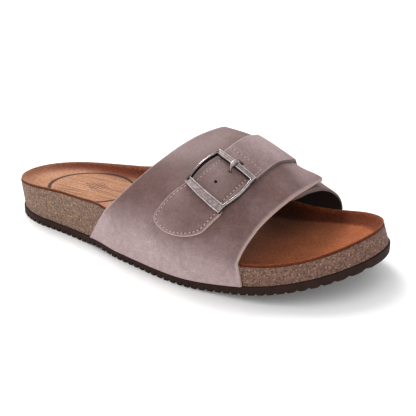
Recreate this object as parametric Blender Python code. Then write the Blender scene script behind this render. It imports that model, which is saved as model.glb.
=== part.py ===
"""Slide sandal for the right foot: ribbed outsole, cork footbed, suede insole, upper and buckled strap.

Sizes are millimetres. +X points to the toe, +Y to the medial side, +Z up, and the floor is Z = 0.
Stations are measured along the sole and are moved so that the middle of the sandal's box is the origin.
"""

import math
from bisect import bisect_right
from collections import namedtuple

import bmesh
import bpy

MM = 0.001
GAP = 0.3
MIDDLE_X = 0.771
MIDDLE_Y = -4.046

# Driving sizes of the sole
HEEL_X = -132.0
TOE_X = 135.0
LENGTH = TOE_X - HEEL_X
HEEL_ROUND = 42.0
TOE_ROUND = 58.0
OUTSOLE_THICK = 5.5
RIB_PITCH = 5.2
RIB_CREST = 2.9
RIB_FLANK = 0.5
RIB_DEPTH = 1.8
RIB_RELIEF = 0.5
REST_RIBS = (5, 12, 24, 30)
TOE_SPRING = 17.0
TOE_SPRING_START = 28.0
WAIST_LIFT = 1.2
WAIST_START = -58.0
WAIST_END = -16.0
CORK_INSET = 1.0
INSOLE_THICK = 1.3
INSOLE_EDGE = 0.4
BED_GAP = 0.5
RING_STEPS = 32
SPINE_HEEL_X = -93.0
SPINE_TOE_X = 90.0

# Plan of the sole: the middle of its width and half its width, before the ends are rounded
Plan = namedtuple("Plan", "station centre half_width")
PLAN = (
    Plan(-135.0, -0.5, 32.0),
    Plan(-100.0, -0.8, 32.4),
    Plan(-62.0, -2.3, 35.6),
    Plan(-14.0, -5.8, 43.6),
    Plan(37.0, -5.8, 52.2),
    Plan(67.0, -2.8, 53.2),
    Plan(100.0, 1.0, 53.0),
    Plan(135.0, 7.0, 53.0),
)

# Side of the footbed: cork height at the lateral and medial rim, and how far the rim leans out
Rim = namedtuple("Rim", "station lateral medial lean")
RIMS = (
    Rim(-135.0, 18.6, 18.6, 1.3),
    Rim(-100.0, 22.8, 20.8, 0.8),
    Rim(-65.0, 25.0, 24.4, 0.2),
    Rim(-20.0, 25.2, 28.0, 0.0),
    Rim(30.0, 19.0, 22.0, 0.0),
    Rim(75.0, 14.2, 13.4, -0.4),
    Rim(110.0, 12.2, 13.0, -2.6),
    Rim(135.0, 12.4, 12.4, -4.6),
)

# Footbed surface: height of the seat over the sole's underside, and the share of the width that is flat
Bed = namedtuple("Bed", "station seat flat")
BEDS = (
    Bed(-135.0, 21.6, 0.50),
    Bed(-90.0, 22.4, 0.58),
    Bed(-40.0, 21.8, 0.56),
    Bed(10.0, 17.2, 0.60),
    Bed(60.0, 12.3, 0.75),
    Bed(100.0, 11.0, 0.84),
    Bed(135.0, 11.0, 0.84),
)
BED_RINGS = (1.0, 0.965, 0.93, 0.89, 0.84, 0.74, 0.58, 0.36, 0.16)

# The last above the rim: place and height of the ridge under the upper
Ridge = namedtuple("Ridge", "station across height")
RIDGES = (
    Ridge(-50.0, 6.0, 77.5),
    Ridge(-10.0, 7.0, 76.6),
    Ridge(20.0, 7.0, 74.4),
    Ridge(41.0, 6.0, 71.2),
    Ridge(64.0, 5.0, 61.0),
    Ridge(90.0, 3.0, 43.0),
)

# Edges of the upper: station at the sole line, at the rim and at the ridge
Edge = namedtuple("Edge", "sole rim ridge")
BACK_LATERAL = Edge(-44.5, -26.0, 20.0)
BACK_MEDIAL = Edge(-38.0, -22.0, 20.0)
FRONT_LATERAL = Edge(77.0, 74.6, 84.2)
FRONT_MEDIAL = Edge(85.0, 86.8, 84.2)

LEATHER = 1.8
PANEL_BITE = 0.7
CORNER_LIFT = 2.0
CORNER_CURL = 3.0
SHOULDER_DIP = 1.6
BACK_BULGE = 2.7
MEDIAL_DRAW = 4.2
CORNER_ROUND = 1.8
WALL_SHARE = 0.16
LATERAL_END = 0.607
PANEL_COLUMNS = 16
LATERAL_ROWS = 32
MEDIAL_ROWS = 16
LIFT_START = 0.17
LIFT_END = 0.31

# Run of the buckled strap over the upper: its axis from the tab's tip to the medial sole line
Axis = namedtuple("Axis", "station x")
STRAP_AXIS = (
    Axis(0.16, 28.5),
    Axis(0.20, 33.5),
    Axis(0.25, 39.8),
    Axis(0.30, 46.3),
    Axis(0.35, 50.4),
    Axis(0.41, 53.1),
    Axis(0.50, 53.5),
    Axis(0.57, 53.0),
    Axis(0.66, 47.0),
    Axis(0.80, 38.0),
    Axis(1.00, 30.0),
)
BAR_T = 0.403
STRAP_HALF = 13.6
STRAP_FOOT_HALF = 17.0
STRAP_END_T = 0.985
STRAP_SKIVE = 0.9
SLOT_HALF = 2.3
SLOT_DEPTH = 4.3
TAB_START = 1.0
TAB_NECK_HALF = 12.0
TAB_HALF = 14.1
TAB_TIP = 60.4
TAB_ROUND = 10.0
TAB_SKEW = 0.62
TAB_FLARE = 2.2
HOLE_REACHES = (5.6, 17.1)
HOLE_RADIUS = 1.2

# Buckle: places along the strap's axis, measured from the middle of the top bar toward the tab's tip
FRAME_HALF = 14.4
FRAME_BOW = 1.4
FRAME_SIDE = 1.2
FRAME_TOP_BAR = 3.7
FRAME_LOW_BAR = 5.4
FRAME_LENGTH = 32.6
FRAME_TWIST = 0.12
FRAME_THICK = 2.3
FRAME_BEVEL = 0.5
PRONG_THICK = 0.9
PRONG_HALF = 1.25
PIN_HALF = 0.6


def smooth(rows, station, column):
    """Value of a table's column at a station, on a smooth curve through its rows."""
    xs = [row.station for row in rows]
    ys = [getattr(row, column) for row in rows]
    if station <= xs[0]:
        return ys[0]
    if station >= xs[-1]:
        return ys[-1]
    slopes = [(ys[i + 1] - ys[i]) / (xs[i + 1] - xs[i]) for i in range(len(xs) - 1)]
    tangents = [slopes[0]]
    tangents += [(a + b) / 2 for a, b in zip(slopes, slopes[1:])]
    tangents += [slopes[-1]]
    i = bisect_right(xs, station) - 1
    span = xs[i + 1] - xs[i]
    t = (station - xs[i]) / span
    rise = t * t * (3 - 2 * t)
    lead = t * (1 - t) ** 2 * span * tangents[i]
    trail = t * t * (t - 1) * span * tangents[i + 1]
    return ys[i] + (ys[i + 1] - ys[i]) * rise + lead + trail


def mix(a, b, share):
    """Value between a and b."""
    return a + (b - a) * share


def ease(share):
    """Share from 0 to 1 with soft ends, held outside that range."""
    t = min(1.0, max(0.0, share))
    return t * t * (3 - 2 * t)


def end_round(distance, depth):
    """Share of the full width at a distance from an end that is rounded over a depth."""
    short = max(0.0, 1 - distance / depth)
    return math.sqrt(max(0.0, 1 - short * short))


def centre(x):
    """Middle of the sole's width."""
    return smooth(PLAN, x, "centre")


def half_width(x):
    """Half the outsole's width, with the heel and toe rounded."""
    rounding = end_round(x - HEEL_X, HEEL_ROUND) * end_round(TOE_X - x, TOE_ROUND)
    return smooth(PLAN, x, "half_width") * rounding


def ground(x):
    """Height of the outsole's underside: flat heel and forefoot, raised waist and toe."""
    waist = (x - WAIST_START) / (WAIST_END - WAIST_START)
    arch = WAIST_LIFT * math.sin(math.pi * waist) ** 2 if 0 < waist < 1 else 0.0
    toe = max(0.0, (x - TOE_SPRING_START) / (TOE_X - TOE_SPRING_START))
    return arch + TOE_SPRING * toe * toe


def cork_base(x):
    """Height of the cork's underside."""
    return ground(x) + OUTSOLE_THICK + GAP


def rim_height(x, side):
    """Height of the rim, where side runs from -1 at the lateral edge to 1 at the medial edge."""
    cork = mix(smooth(RIMS, x, "lateral"), smooth(RIMS, x, "medial"), ease((side + 1) / 2))
    return ground(x) + OUTSOLE_THICK + cork


def side_lean(x, share):
    """How far the footbed's side stands out from the outsole's plan, from its foot (0) to its rim (1)."""
    return mix(-CORK_INSET, smooth(RIMS, x, "lean"), share)


def bed_height(x, side, scale):
    """Height of the insole's top, where scale runs from 0 on the spine to 1 at the rim."""
    inner_x = mix(min(max(x, SPINE_HEEL_X), SPINE_TOE_X), x, scale)
    seat = ground(inner_x) + smooth(BEDS, inner_x, "seat")
    flat = smooth(BEDS, x, "flat")
    wall = max(0.0, (scale - flat) / (1 - flat))
    return mix(seat, rim_height(x, side), wall * wall)


def ring_stations():
    """Stations from heel to toe, closer together at the round ends."""
    middle = (HEEL_X + TOE_X) / 2
    return [middle - LENGTH / 2 * math.cos(math.pi * j / RING_STEPS) for j in range(RING_STEPS + 1)]


def sole_ring(lean, scale, height):
    """Loop round the sole: the heel, the lateral edge, the toe and the medial edge."""
    stations = ring_stations()
    walk = [(x, -1) for x in stations] + [(x, 1) for x in stations[-2:0:-1]]
    points = []
    for x, hand in walk:
        wide = half_width(x)
        side = hand * wide / smooth(PLAN, x, "half_width")
        spine_x = min(max(x, SPINE_HEEL_X), SPINE_TOE_X)
        spine_y = centre(spine_x)
        reach_x = x - spine_x
        reach_y = centre(x) + hand * wide - spine_y
        reach = math.hypot(reach_x, reach_y)
        grown = scale * (reach + lean(x)) / reach
        points.append((spine_x + grown * reach_x, spine_y + grown * reach_y, height(x, side)))
    return points


def add_object(name, mesh_data, material):
    """Object in the scene from a bmesh, with its faces pointing out."""
    bmesh.ops.recalc_face_normals(mesh_data, faces=mesh_data.faces)
    mesh = bpy.data.meshes.new(name)
    mesh_data.to_mesh(mesh)
    mesh_data.free()
    mesh.materials.append(material)
    mesh.shade_smooth()
    mesh.set_sharp_from_angle(angle=math.radians(35))
    made = bpy.data.objects.new(name, mesh)
    bpy.context.scene.collection.objects.link(made)
    return made


def vertices(mesh_data, points):
    """New vertices at points given in millimetres."""
    return [mesh_data.verts.new(((x - MIDDLE_X) * MM, (y - MIDDLE_Y) * MM, z * MM)) for x, y, z in points]


def ring_solid(name, rings, material):
    """Closed solid through a stack of sole rings, with a ladder of faces across the first and last."""
    mesh_data = bmesh.new()
    loops = [vertices(mesh_data, ring) for ring in rings]
    count = len(loops[0])
    for low, high in zip(loops, loops[1:]):
        for i in range(count):
            j = (i + 1) % count
            mesh_data.faces.new((low[i], low[j], high[j], high[i]))
    for loop in (loops[0], loops[-1]):
        for i in range(1, count // 2 - 1):
            mesh_data.faces.new((loop[i], loop[i + 1], loop[count - i - 1], loop[count - i]))
        mesh_data.faces.new((loop[0], loop[1], loop[-1]))
        toe = count // 2
        mesh_data.faces.new((loop[toe - 1], loop[toe], loop[toe + 1]))
    return add_object(name, mesh_data, material)


def tube_solid(name, sections, material):
    """Closed solid through a row of sections with equal numbers of points, capped at both ends."""
    mesh_data = bmesh.new()
    loops = [vertices(mesh_data, section) for section in sections]
    count = len(loops[0])
    for near, far in zip(loops, loops[1:]):
        for i in range(count):
            j = (i + 1) % count
            mesh_data.faces.new((near[i], near[j], far[j], far[i]))
    mesh_data.faces.new(loops[0])
    mesh_data.faces.new(loops[-1])
    return add_object(name, mesh_data, material)


def sheet_solid(name, outer, inner, material):
    """Closed sheet between an outer and an inner grid of points."""
    mesh_data = bmesh.new()
    tops = [vertices(mesh_data, row) for row in outer]
    unders = [vertices(mesh_data, row) for row in inner]
    rows, columns = len(tops), len(tops[0])
    for i in range(rows - 1):
        for j in range(columns - 1):
            for grid in (tops, unders):
                mesh_data.faces.new((grid[i][j], grid[i][j + 1], grid[i + 1][j + 1], grid[i + 1][j]))
    for i in range(rows - 1):
        for j in (0, columns - 1):
            mesh_data.faces.new((tops[i][j], tops[i + 1][j], unders[i + 1][j], unders[i][j]))
    for j in range(columns - 1):
        for i in (0, rows - 1):
            mesh_data.faces.new((tops[i][j], tops[i][j + 1], unders[i][j + 1], unders[i][j]))
    return add_object(name, mesh_data, material)


def rib_stations():
    """Stations of the outsole's cross ribs with their groove depth, from heel to toe.

    Two ribs under the heel and two under the ball stand on the floor, and the others just clear it.
    """
    tip = 0.2
    found = [(HEEL_X + tip, RIB_RELIEF)]
    for rib in range(int(LENGTH / RIB_PITCH) + 1):
        crest = 0.0 if rib in REST_RIBS else RIB_RELIEF
        shape = (
            (0.0, crest),
            (RIB_CREST, crest),
            (RIB_CREST + RIB_FLANK, RIB_DEPTH),
            (RIB_PITCH - RIB_FLANK, RIB_DEPTH),
        )
        for step, depth in shape:
            x = HEEL_X + rib * RIB_PITCH + step
            if HEEL_X + 2 * tip < x < TOE_X - 2 * tip:
                found.append((x, depth))
    found.append((TOE_X - tip, RIB_RELIEF))
    return found


def build_outsole(material):
    """Rubber outsole with ribs across its whole width, so that they show as teeth along its edge."""
    sections = []
    for x, depth in rib_stations():
        low = ground(x) + depth
        high = ground(x) + OUTSOLE_THICK
        lateral = centre(x) - half_width(x)
        medial = centre(x) + half_width(x)
        sections.append(((x, lateral, low), (x, medial, low), (x, medial, high), (x, lateral, high)))
    return tube_solid("outsole", sections, material)


def rim_lean(x):
    """Lean of the rim itself."""
    return side_lean(x, 1.0)


def insole_lean(x):
    """Lean of the insole's edge, just inside the rim."""
    return rim_lean(x) - INSOLE_EDGE


def build_midsole(material):
    """Cork footbed: a straight side that leans with the rim, and a cupped top under the insole."""
    drop = INSOLE_THICK + BED_GAP
    rings = [sole_ring(lambda x: -CORK_INSET, 1.0, lambda x, side: cork_base(x))]
    rings.append(
        sole_ring(
            lambda x: side_lean(x, 0.5),
            1.0,
            lambda x, side: mix(cork_base(x), rim_height(x, side) - drop, 0.5),
        )
    )
    for scale in BED_RINGS:
        rings.append(
            sole_ring(rim_lean, scale, lambda x, side, k=scale: bed_height(x, side, k) - drop)
        )
    return ring_solid("midsole", rings, material)


def build_insole(material):
    """Suede insole over the whole cupped footbed, with its cut edge on the rim."""
    rings = [
        sole_ring(insole_lean, scale, lambda x, side, k=scale: bed_height(x, side, k))
        for scale in reversed(BED_RINGS)
    ]
    rings += [
        sole_ring(insole_lean, scale, lambda x, side, k=scale: bed_height(x, side, k) - INSOLE_THICK)
        for scale in BED_RINGS
    ]
    return ring_solid("insole", rings, material)


def section_point(x, t, lift):
    """Point of the upper's section at a station: t runs from the lateral sole line (0) to the medial one (1).

    The wall stands against the footbed's side up to the rim, and two quarter ellipses meet on the ridge.
    Lift is the distance out from the last.
    """
    hand = -1 if t < 0.5 else 1
    run = 2 * min(t, 1 - t)
    wall = 2 * WALL_SHARE
    rim_z = rim_height(x, hand)
    if run < wall:
        share = run / wall
        stand = half_width(x) + side_lean(x, share) + GAP + lift
        return (x, centre(x) + hand * stand, mix(cork_base(x), rim_z, share))
    angle = math.pi / 2 * (run - wall) / (1 - wall)
    ridge_y = smooth(RIDGES, x, "across")
    reach = hand * (centre(x) - ridge_y) + half_width(x) + rim_lean(x) + GAP
    rise = smooth(RIDGES, x, "height") - rim_z
    out = math.cos(angle) * rise
    up = math.sin(angle) * reach
    size = math.hypot(out, up)
    stand = lift - shoulder_dip(x, t)
    y = ridge_y + hand * (reach * math.cos(angle) + stand * out / size)
    return (x, y, rim_z + rise * math.sin(angle) + stand * up / size)


def shoulder_dip(x, t):
    """How far the front of the medial shoulder lies inside the round section."""
    along = ease((x - 30.0) / 30.0) * (1 - 0.35 * ease((x - 63.0) / 10.0))
    return SHOULDER_DIP * along * ease((t - 0.47) / 0.1) * ease((0.83 - t) / 0.17)


def edge_station(lateral, medial, t):
    """Station of an edge of the upper, which is close to straight when seen from the side."""
    edge = lateral if t < 0.5 else medial
    run = 2 * min(t, 1 - t)
    wall = 2 * WALL_SHARE
    if run < wall:
        return mix(edge.sole, edge.rim, run / wall)
    return mix(edge.rim, edge.ridge, math.sin(math.pi / 2 * (run - wall) / (1 - wall)))


def back_bulge(t):
    """How far the back edge stands out toward the heel on the lateral shoulder."""
    return BACK_BULGE * ease((t - 0.26) / 0.16) * ease((0.53 - t) / 0.1)


def panel_grids(turns, low, set_back):
    """Outer and inner grids of a panel along a row of t values; low is the lift of its inner face."""
    outer, inner = [], []
    for t in turns:
        back = edge_station(BACK_LATERAL, BACK_MEDIAL, t) - back_bulge(t)
        front = edge_station(FRONT_LATERAL, FRONT_MEDIAL, t) - set_back(t)
        stations = [mix(back, front, j / PANEL_COLUMNS) for j in range(PANEL_COLUMNS + 1)]
        outer.append([section_point(x, t, low(x, t) + LEATHER) for x in stations])
        inner.append([section_point(x, t, low(x, t)) for x in stations])
    return outer, inner


def lateral_lift(x, t):
    """Lift of the lateral panel's inner face: on the footbed at the sole, over the medial panel above.

    Its front corner stands off the medial panel and curls up.
    """
    over = (LEATHER - PANEL_BITE) * ease((t - LIFT_START) / (LIFT_END - LIFT_START))
    corner = CORNER_LIFT * ease((x - 66.0) / 24.0) * ease((t - 0.18) / 0.34)
    curl = CORNER_CURL * ease((x - 68.0) / 16.0) * ease((t - 0.5) / 0.1)
    return over + corner + curl


def lateral_step(t):
    """How far the lateral panel's front edge draws back at its round corner."""
    return CORNER_ROUND * ease((t - LATERAL_END) / 0.02 + 1)


def medial_step(t):
    """How far the medial panel's front edge draws back where the lateral panel hides it."""
    return MEDIAL_DRAW * (1 - ease((t - 0.37) / 0.12))


def build_upper(material):
    """Leather upper: the lateral panel laps over the medial one on the instep and is joined to it there."""
    step = LATERAL_END / LATERAL_ROWS
    lateral = panel_grids([step * i for i in range(LATERAL_ROWS + 1)], lateral_lift, lateral_step)
    lap = LATERAL_END + step / 2
    turns = [mix(1.0, lap, i / MEDIAL_ROWS) for i in range(MEDIAL_ROWS)]
    turns += [lap - step * i for i in range(16)]
    medial = panel_grids(turns, lambda x, t: 0.0, medial_step)
    under = sheet_solid("medial_panel", *medial, material)
    under.hide_render = True
    under.display_type = "WIRE"
    upper = sheet_solid("upper", *lateral, material)
    join = upper.modifiers.new("join_panels", "BOOLEAN")
    join.operation = "UNION"
    join.object = under
    return upper


def strap_walk():
    """Rows along the strap's axis: distance from the top bar, place on the upper and lean of the axis.

    The rate is the length of arc for a unit of t, and the grade that for a unit of x.
    """
    Row = namedtuple("Row", "station t x lean rate grade")
    lift = 2 * LEATHER
    step = 0.005
    rows = []
    for heading in (-1, 1):
        t, reach = BAR_T, 0.0
        while 0.17 < t < 0.995:
            x = smooth(STRAP_AXIS, t, "x")
            rate = math.dist(section_point(x, t - step, lift), section_point(x, t + step, lift)) / (2 * step)
            grade = math.dist(section_point(x - 1, t, lift), section_point(x + 1, t, lift)) / 2
            slide = (smooth(STRAP_AXIS, t + step, "x") - smooth(STRAP_AXIS, t - step, "x")) / (2 * step)
            pace = math.hypot(rate, slide * grade)
            rows.append(Row(reach, t, x, -slide * grade / pace, rate, grade))
            t += heading * step
            reach -= heading * step * pace
    return sorted(set(rows))


STRAP_ROWS = strap_walk()


def strap_t(reach, across):
    """Place on the upper's section at a distance along the strap's axis and a distance across it."""
    lean = smooth(STRAP_ROWS, reach, "lean")
    return smooth(STRAP_ROWS, reach, "t") + across * lean / smooth(STRAP_ROWS, reach, "rate")


def strap_point(reach, across, lift):
    """Point over the upper at a distance along the strap's axis and a distance across it."""
    lean = smooth(STRAP_ROWS, reach, "lean")
    level = math.sqrt(1 - lean * lean) / smooth(STRAP_ROWS, reach, "grade")
    x = smooth(STRAP_ROWS, reach, "x") + across * level
    return section_point(x, strap_t(reach, across), lift)


def strap_reach(t):
    """Distance along the strap's axis at a t value."""
    row = min(STRAP_ROWS, key=lambda found: abs(found.t - t))
    return row.station


PANEL_TOP = 2 * LEATHER - PANEL_BITE
STRAP_LOW = PANEL_TOP + GAP
STRAP_HIGH = STRAP_LOW + LEATHER
FRAME_LOW = STRAP_HIGH + GAP
FRAME_HIGH = FRAME_LOW + FRAME_THICK


def strap_low(reach, across):
    """Lift of the strap's inner face: over the lateral panel's end, then down on the medial panel."""
    fall = ease((strap_t(reach, across) - LATERAL_END - 0.006) / 0.045)
    return mix(STRAP_LOW, LEATHER + GAP, fall)


def build_buckle_strap(material):
    """Strap from the medial sole line over the lateral panel's end to the buckle, slotted for the prong."""
    start = -FRAME_TOP_BAR / 2 + 1.0
    foot = strap_reach(STRAP_END_T)
    rows, columns = 30, 6
    outer, inner = [], []
    for i in range(rows + 1):
        share = i / rows
        reach = mix(start, foot, share)
        half = mix(STRAP_HALF, STRAP_FOOT_HALF, ease((share - 0.3) / 0.7))
        thick = mix(LEATHER, STRAP_SKIVE, ease((share - 0.75) / 0.25))
        spread = [mix(-half, half, j / columns) for j in range(columns + 1)]
        outer.append([strap_point(reach, a, strap_low(reach, a) + thick) for a in spread])
        inner.append([strap_point(reach, a, strap_low(reach, a)) for a in spread])
    strap = sheet_solid("buckle_strap", outer, inner, material)
    ends = (start - SLOT_DEPTH, start + 1.0)
    corners = ((-SLOT_HALF, STRAP_LOW - 1), (SLOT_HALF, STRAP_LOW - 1))
    corners += ((SLOT_HALF, STRAP_HIGH + 1), (-SLOT_HALF, STRAP_HIGH + 1))
    slot = tube_solid(
        "strap_slot",
        [[strap_point(reach, a, lift) for a, lift in corners] for reach in ends],
        material,
    )
    cut(strap, slot)
    return strap


def cut(solid, cutter):
    """Take a cutter's volume out of a solid."""
    cutter.hide_render = True
    cutter.display_type = "WIRE"
    taken = solid.modifiers.new("cut_" + cutter.name, "BOOLEAN")
    taken.operation = "DIFFERENCE"
    taken.object = cutter


def build_strap_tab(material):
    """Tab on the lateral panel with a round skewed tip, narrower where it passes through the buckle."""
    neck_end = FRAME_LENGTH - FRAME_TOP_BAR / 2 - FRAME_LOW_BAR
    rows, columns = 15, 10
    outer, inner = [], []
    for i in range(rows + 1):
        spots = []
        for j in range(columns + 1):
            side = -math.cos(math.pi * j / columns)
            reach = mix(TAB_START, tab_end(side), i / rows)
            widen = ease((reach - neck_end + 3.0) / (FRAME_LOW_BAR + 2.0))
            flare = TAB_FLARE * ease((reach - neck_end) / 24.0) * (1 - side) / 2
            spots.append((reach, side * mix(TAB_NECK_HALF, TAB_HALF, widen) - flare))
        outer.append([strap_point(reach, a, tab_lift(reach, a) + LEATHER) for reach, a in spots])
        inner.append([strap_point(reach, a, tab_lift(reach, a)) for reach, a in spots])
    tab = sheet_solid("strap_tab", outer, inner, material)
    for number, reach in enumerate(HOLE_REACHES):
        turns = [math.tau * k / 8 for k in range(8)]
        loops = []
        for lift in (STRAP_LOW - 1, STRAP_HIGH + 1):
            loops.append(
                [
                    strap_point(reach + HOLE_RADIUS * math.cos(w), HOLE_RADIUS * math.sin(w), lift)
                    for w in turns
                ]
            )
        cut(tab, tube_solid("tab_hole_" + str(number), loops, material))
    return tab


def tab_end(side):
    """Reach of the tab's round tip, which runs further at the heel side (-1) than at the toe side (1)."""
    short = TAB_ROUND * (1 - math.sqrt(max(0.0, 1 - side * side)))
    return TAB_TIP - TAB_SKEW * TAB_HALF * side - short


def tab_lift(reach, across):
    """Lift of the tab's inner face, which follows the lateral panel down to the footbed's side."""
    return lateral_lift(0.0, strap_t(reach, across)) + LEATHER + GAP


def frame_bow(reach):
    """How far the buckle's sides bow out beside its window."""
    window = FRAME_LENGTH - FRAME_TOP_BAR - FRAME_LOW_BAR
    share = (reach - FRAME_TOP_BAR / 2) / window
    return FRAME_BOW * math.sin(math.pi * share) if 0 < share < 1 else 0.0


def frame_loop(inset, inner, lift):
    """Loop round the buckle frame's outside or its window, drawn in by an inset."""
    first = -FRAME_TOP_BAR / 2
    last = first + FRAME_LENGTH
    half = FRAME_HALF
    if inner:
        first += FRAME_TOP_BAR - inset
        last -= FRAME_LOW_BAR - inset
        half -= FRAME_SIDE - inset
    else:
        first += inset
        last -= inset
        half -= inset
    steps = 10
    points = []
    for i in range(steps):
        reach = mix(first, last, i / steps)
        points.append((reach, half + frame_bow(reach)))
    points += [(last, mix(half, -half, i / 4)) for i in range(4)]
    for i in range(steps):
        reach = mix(last, first, i / steps)
        points.append((reach, -half - frame_bow(reach)))
    points += [(first, mix(-half, half, i / 4)) for i in range(4)]
    turned = [(reach - FRAME_TWIST * a * reach / FRAME_LENGTH, a) for reach, a in points]
    return [strap_point(reach, a, tab_lift(reach, a) + LEATHER + GAP + lift) for reach, a in turned]


def build_buckle_frame(material):
    """Buckle frame curved to the upper, with a wide lower bar, bowed sides and bevelled edges."""
    loops = (
        frame_loop(0.0, False, 0.0),
        frame_loop(0.0, False, FRAME_THICK - FRAME_BEVEL),
        frame_loop(FRAME_BEVEL, False, FRAME_THICK),
        frame_loop(FRAME_BEVEL, True, FRAME_THICK),
        frame_loop(0.0, True, FRAME_THICK - FRAME_BEVEL),
        frame_loop(0.0, True, 0.0),
    )
    mesh_data = bmesh.new()
    rings = [vertices(mesh_data, loop) for loop in loops]
    count = len(rings[0])
    for near, far in zip(rings, rings[1:] + rings[:1]):
        for i in range(count):
            j = (i + 1) % count
            mesh_data.faces.new((near[i], near[j], far[j], far[i]))
    return add_object("buckle_frame", mesh_data, material)


def build_buckle_prong(material):
    """Prong bent round the top bar, with its pin in the tab's upper hole."""
    clear = GAP + PRONG_THICK / 2
    low = FRAME_LOW - clear
    high = FRAME_HIGH + clear
    back = -FRAME_TOP_BAR / 2 - clear
    front = FRAME_TOP_BAR / 2 + clear
    hole = HOLE_REACHES[0]
    path = (
        (0.2, low, PRONG_HALF),
        (back, low, PRONG_HALF),
        (back, high, PRONG_HALF),
        (front, high, PRONG_HALF),
        (mix(front, hole, 0.45), mix(high, STRAP_HIGH, 0.25), PIN_HALF),
        (hole - 0.3, mix(STRAP_HIGH, high, 0.15), PIN_HALF),
        (hole, STRAP_LOW + 0.6, PIN_HALF),
    )
    sections = []
    for i, (reach, lift, half) in enumerate(path):
        before = path[max(0, i - 1)]
        after = path[min(len(path) - 1, i + 1)]
        run, rise = after[0] - before[0], after[1] - before[1]
        if 0 < i < len(path) - 1:
            first = math.atan2(lift - before[1], reach - before[0])
            second = math.atan2(after[1] - lift, after[0] - reach)
            turn = math.remainder(second - first, math.tau) / 2
            heading = first + turn
            stretch = 1 / math.cos(turn)
        else:
            heading = math.atan2(rise, run)
            stretch = 1.0
        offset = PRONG_THICK / 2 * stretch
        side_run, side_rise = -math.sin(heading) * offset, math.cos(heading) * offset
        sections.append(
            [
                strap_point(reach + side_run, -half, lift + side_rise),
                strap_point(reach + side_run, half, lift + side_rise),
                strap_point(reach - side_run, half, lift - side_rise),
                strap_point(reach - side_run, -half, lift - side_rise),
            ]
        )
    return tube_solid("buckle_prong", sections, material)


def principled(name, colour, roughness, metallic=0.0):
    """Material with the part's colour and finish."""
    material = bpy.data.materials.new(name)
    material.use_nodes = True
    shader = material.node_tree.nodes["Principled BSDF"]
    shader.inputs["Base Color"].default_value = (*colour, 1.0)
    shader.inputs["Roughness"].default_value = roughness
    shader.inputs["Metallic"].default_value = metallic
    return material


def main():
    for stale in list(bpy.data.objects):
        bpy.data.objects.remove(stale)
    rubber = principled("dark_brown_rubber", (0.045, 0.025, 0.02), 0.6)
    cork = principled("ground_cork", (0.19, 0.125, 0.095), 0.85)
    suede = principled("tan_suede", (0.36, 0.15, 0.065), 0.9)
    leather = principled("taupe_leather", (0.3, 0.215, 0.2), 0.5)
    metal = principled("antique_silver", (0.35, 0.33, 0.34), 0.35, 1.0)
    build_outsole(rubber)
    build_midsole(cork)
    build_insole(suede)
    build_upper(leather)
    build_buckle_strap(leather)
    build_strap_tab(leather)
    build_buckle_frame(metal)
    build_buckle_prong(metal)


main()
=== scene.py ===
"""Slide sandal for the right foot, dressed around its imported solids.

Shapes follow the same tables and section rules as the solids, at a finer step, and sizes are millimetres.
+X points to the toe, +Y to the medial side and +Z up. The floor is Z = 0.
"""

import math
from bisect import bisect_right
from collections import namedtuple

import bmesh
import bpy
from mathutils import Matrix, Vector


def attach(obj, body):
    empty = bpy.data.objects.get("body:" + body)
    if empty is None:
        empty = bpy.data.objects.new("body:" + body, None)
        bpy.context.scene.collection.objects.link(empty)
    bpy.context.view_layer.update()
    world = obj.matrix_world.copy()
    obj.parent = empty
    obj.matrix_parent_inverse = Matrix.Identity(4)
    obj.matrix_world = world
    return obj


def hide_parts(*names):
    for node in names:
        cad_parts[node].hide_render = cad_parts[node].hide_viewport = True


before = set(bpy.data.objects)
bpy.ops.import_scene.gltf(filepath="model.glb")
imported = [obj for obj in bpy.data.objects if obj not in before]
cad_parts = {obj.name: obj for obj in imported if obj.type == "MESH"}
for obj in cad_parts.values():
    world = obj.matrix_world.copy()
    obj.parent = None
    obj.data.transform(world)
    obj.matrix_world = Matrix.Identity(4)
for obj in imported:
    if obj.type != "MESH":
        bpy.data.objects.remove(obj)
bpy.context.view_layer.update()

bl_info = {
    "name": "Slide Sandal",
    "version": (1, 0, 0),
    "blender": (4, 5, 0),
    "location": "View3D > Sidebar > Sandal",
    "description": "Builds the sole, leather, buckle and stitching of a slide sandal on its packed solids",
    "category": "Object",
}

MM = 0.001
GAP = 0.3
MIDDLE_X = 0.771
MIDDLE_Y = -4.046

# Driving sizes of the sole
HEEL_X = -132.0
TOE_X = 135.0
LENGTH = TOE_X - HEEL_X
HEEL_ROUND = 42.0
TOE_ROUND = 58.0
OUTSOLE_THICK = 5.5
TOE_SPRING = 17.0
TOE_SPRING_START = 28.0
WAIST_LIFT = 1.2
WAIST_START = -58.0
WAIST_END = -16.0
CORK_INSET = 1.0
INSOLE_THICK = 1.3
INSOLE_EDGE = 0.4
BED_GAP = 0.5
RING_STEPS = 120
SPINE_HEEL_X = -93.0
SPINE_TOE_X = 90.0

# Ribs: pitch, depth, sections in a pitch, where in it a groove opens and closes, and the fade to the toe
RIB_PITCH = 5.2
RIB_DEPTH = 2.3
RIB_STEPS = 12
GROOVE_OPEN = (0.46, 0.72)
GROOVE_CLOSE = (0.74, 1.0)
RIB_FADE = 0.55
RIB_FADE_SPAN = (50.0, 100.0)

# Plan of the sole: the middle of its width and half its width, before the ends are rounded
Plan = namedtuple("Plan", "station centre half_width")
PLAN = (
    Plan(-135.0, -0.5, 32.0),
    Plan(-100.0, -0.8, 32.4),
    Plan(-62.0, -2.3, 35.6),
    Plan(-14.0, -5.8, 43.6),
    Plan(37.0, -5.8, 52.2),
    Plan(67.0, -2.8, 53.2),
    Plan(100.0, 1.0, 53.0),
    Plan(135.0, 7.0, 53.0),
)

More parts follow.
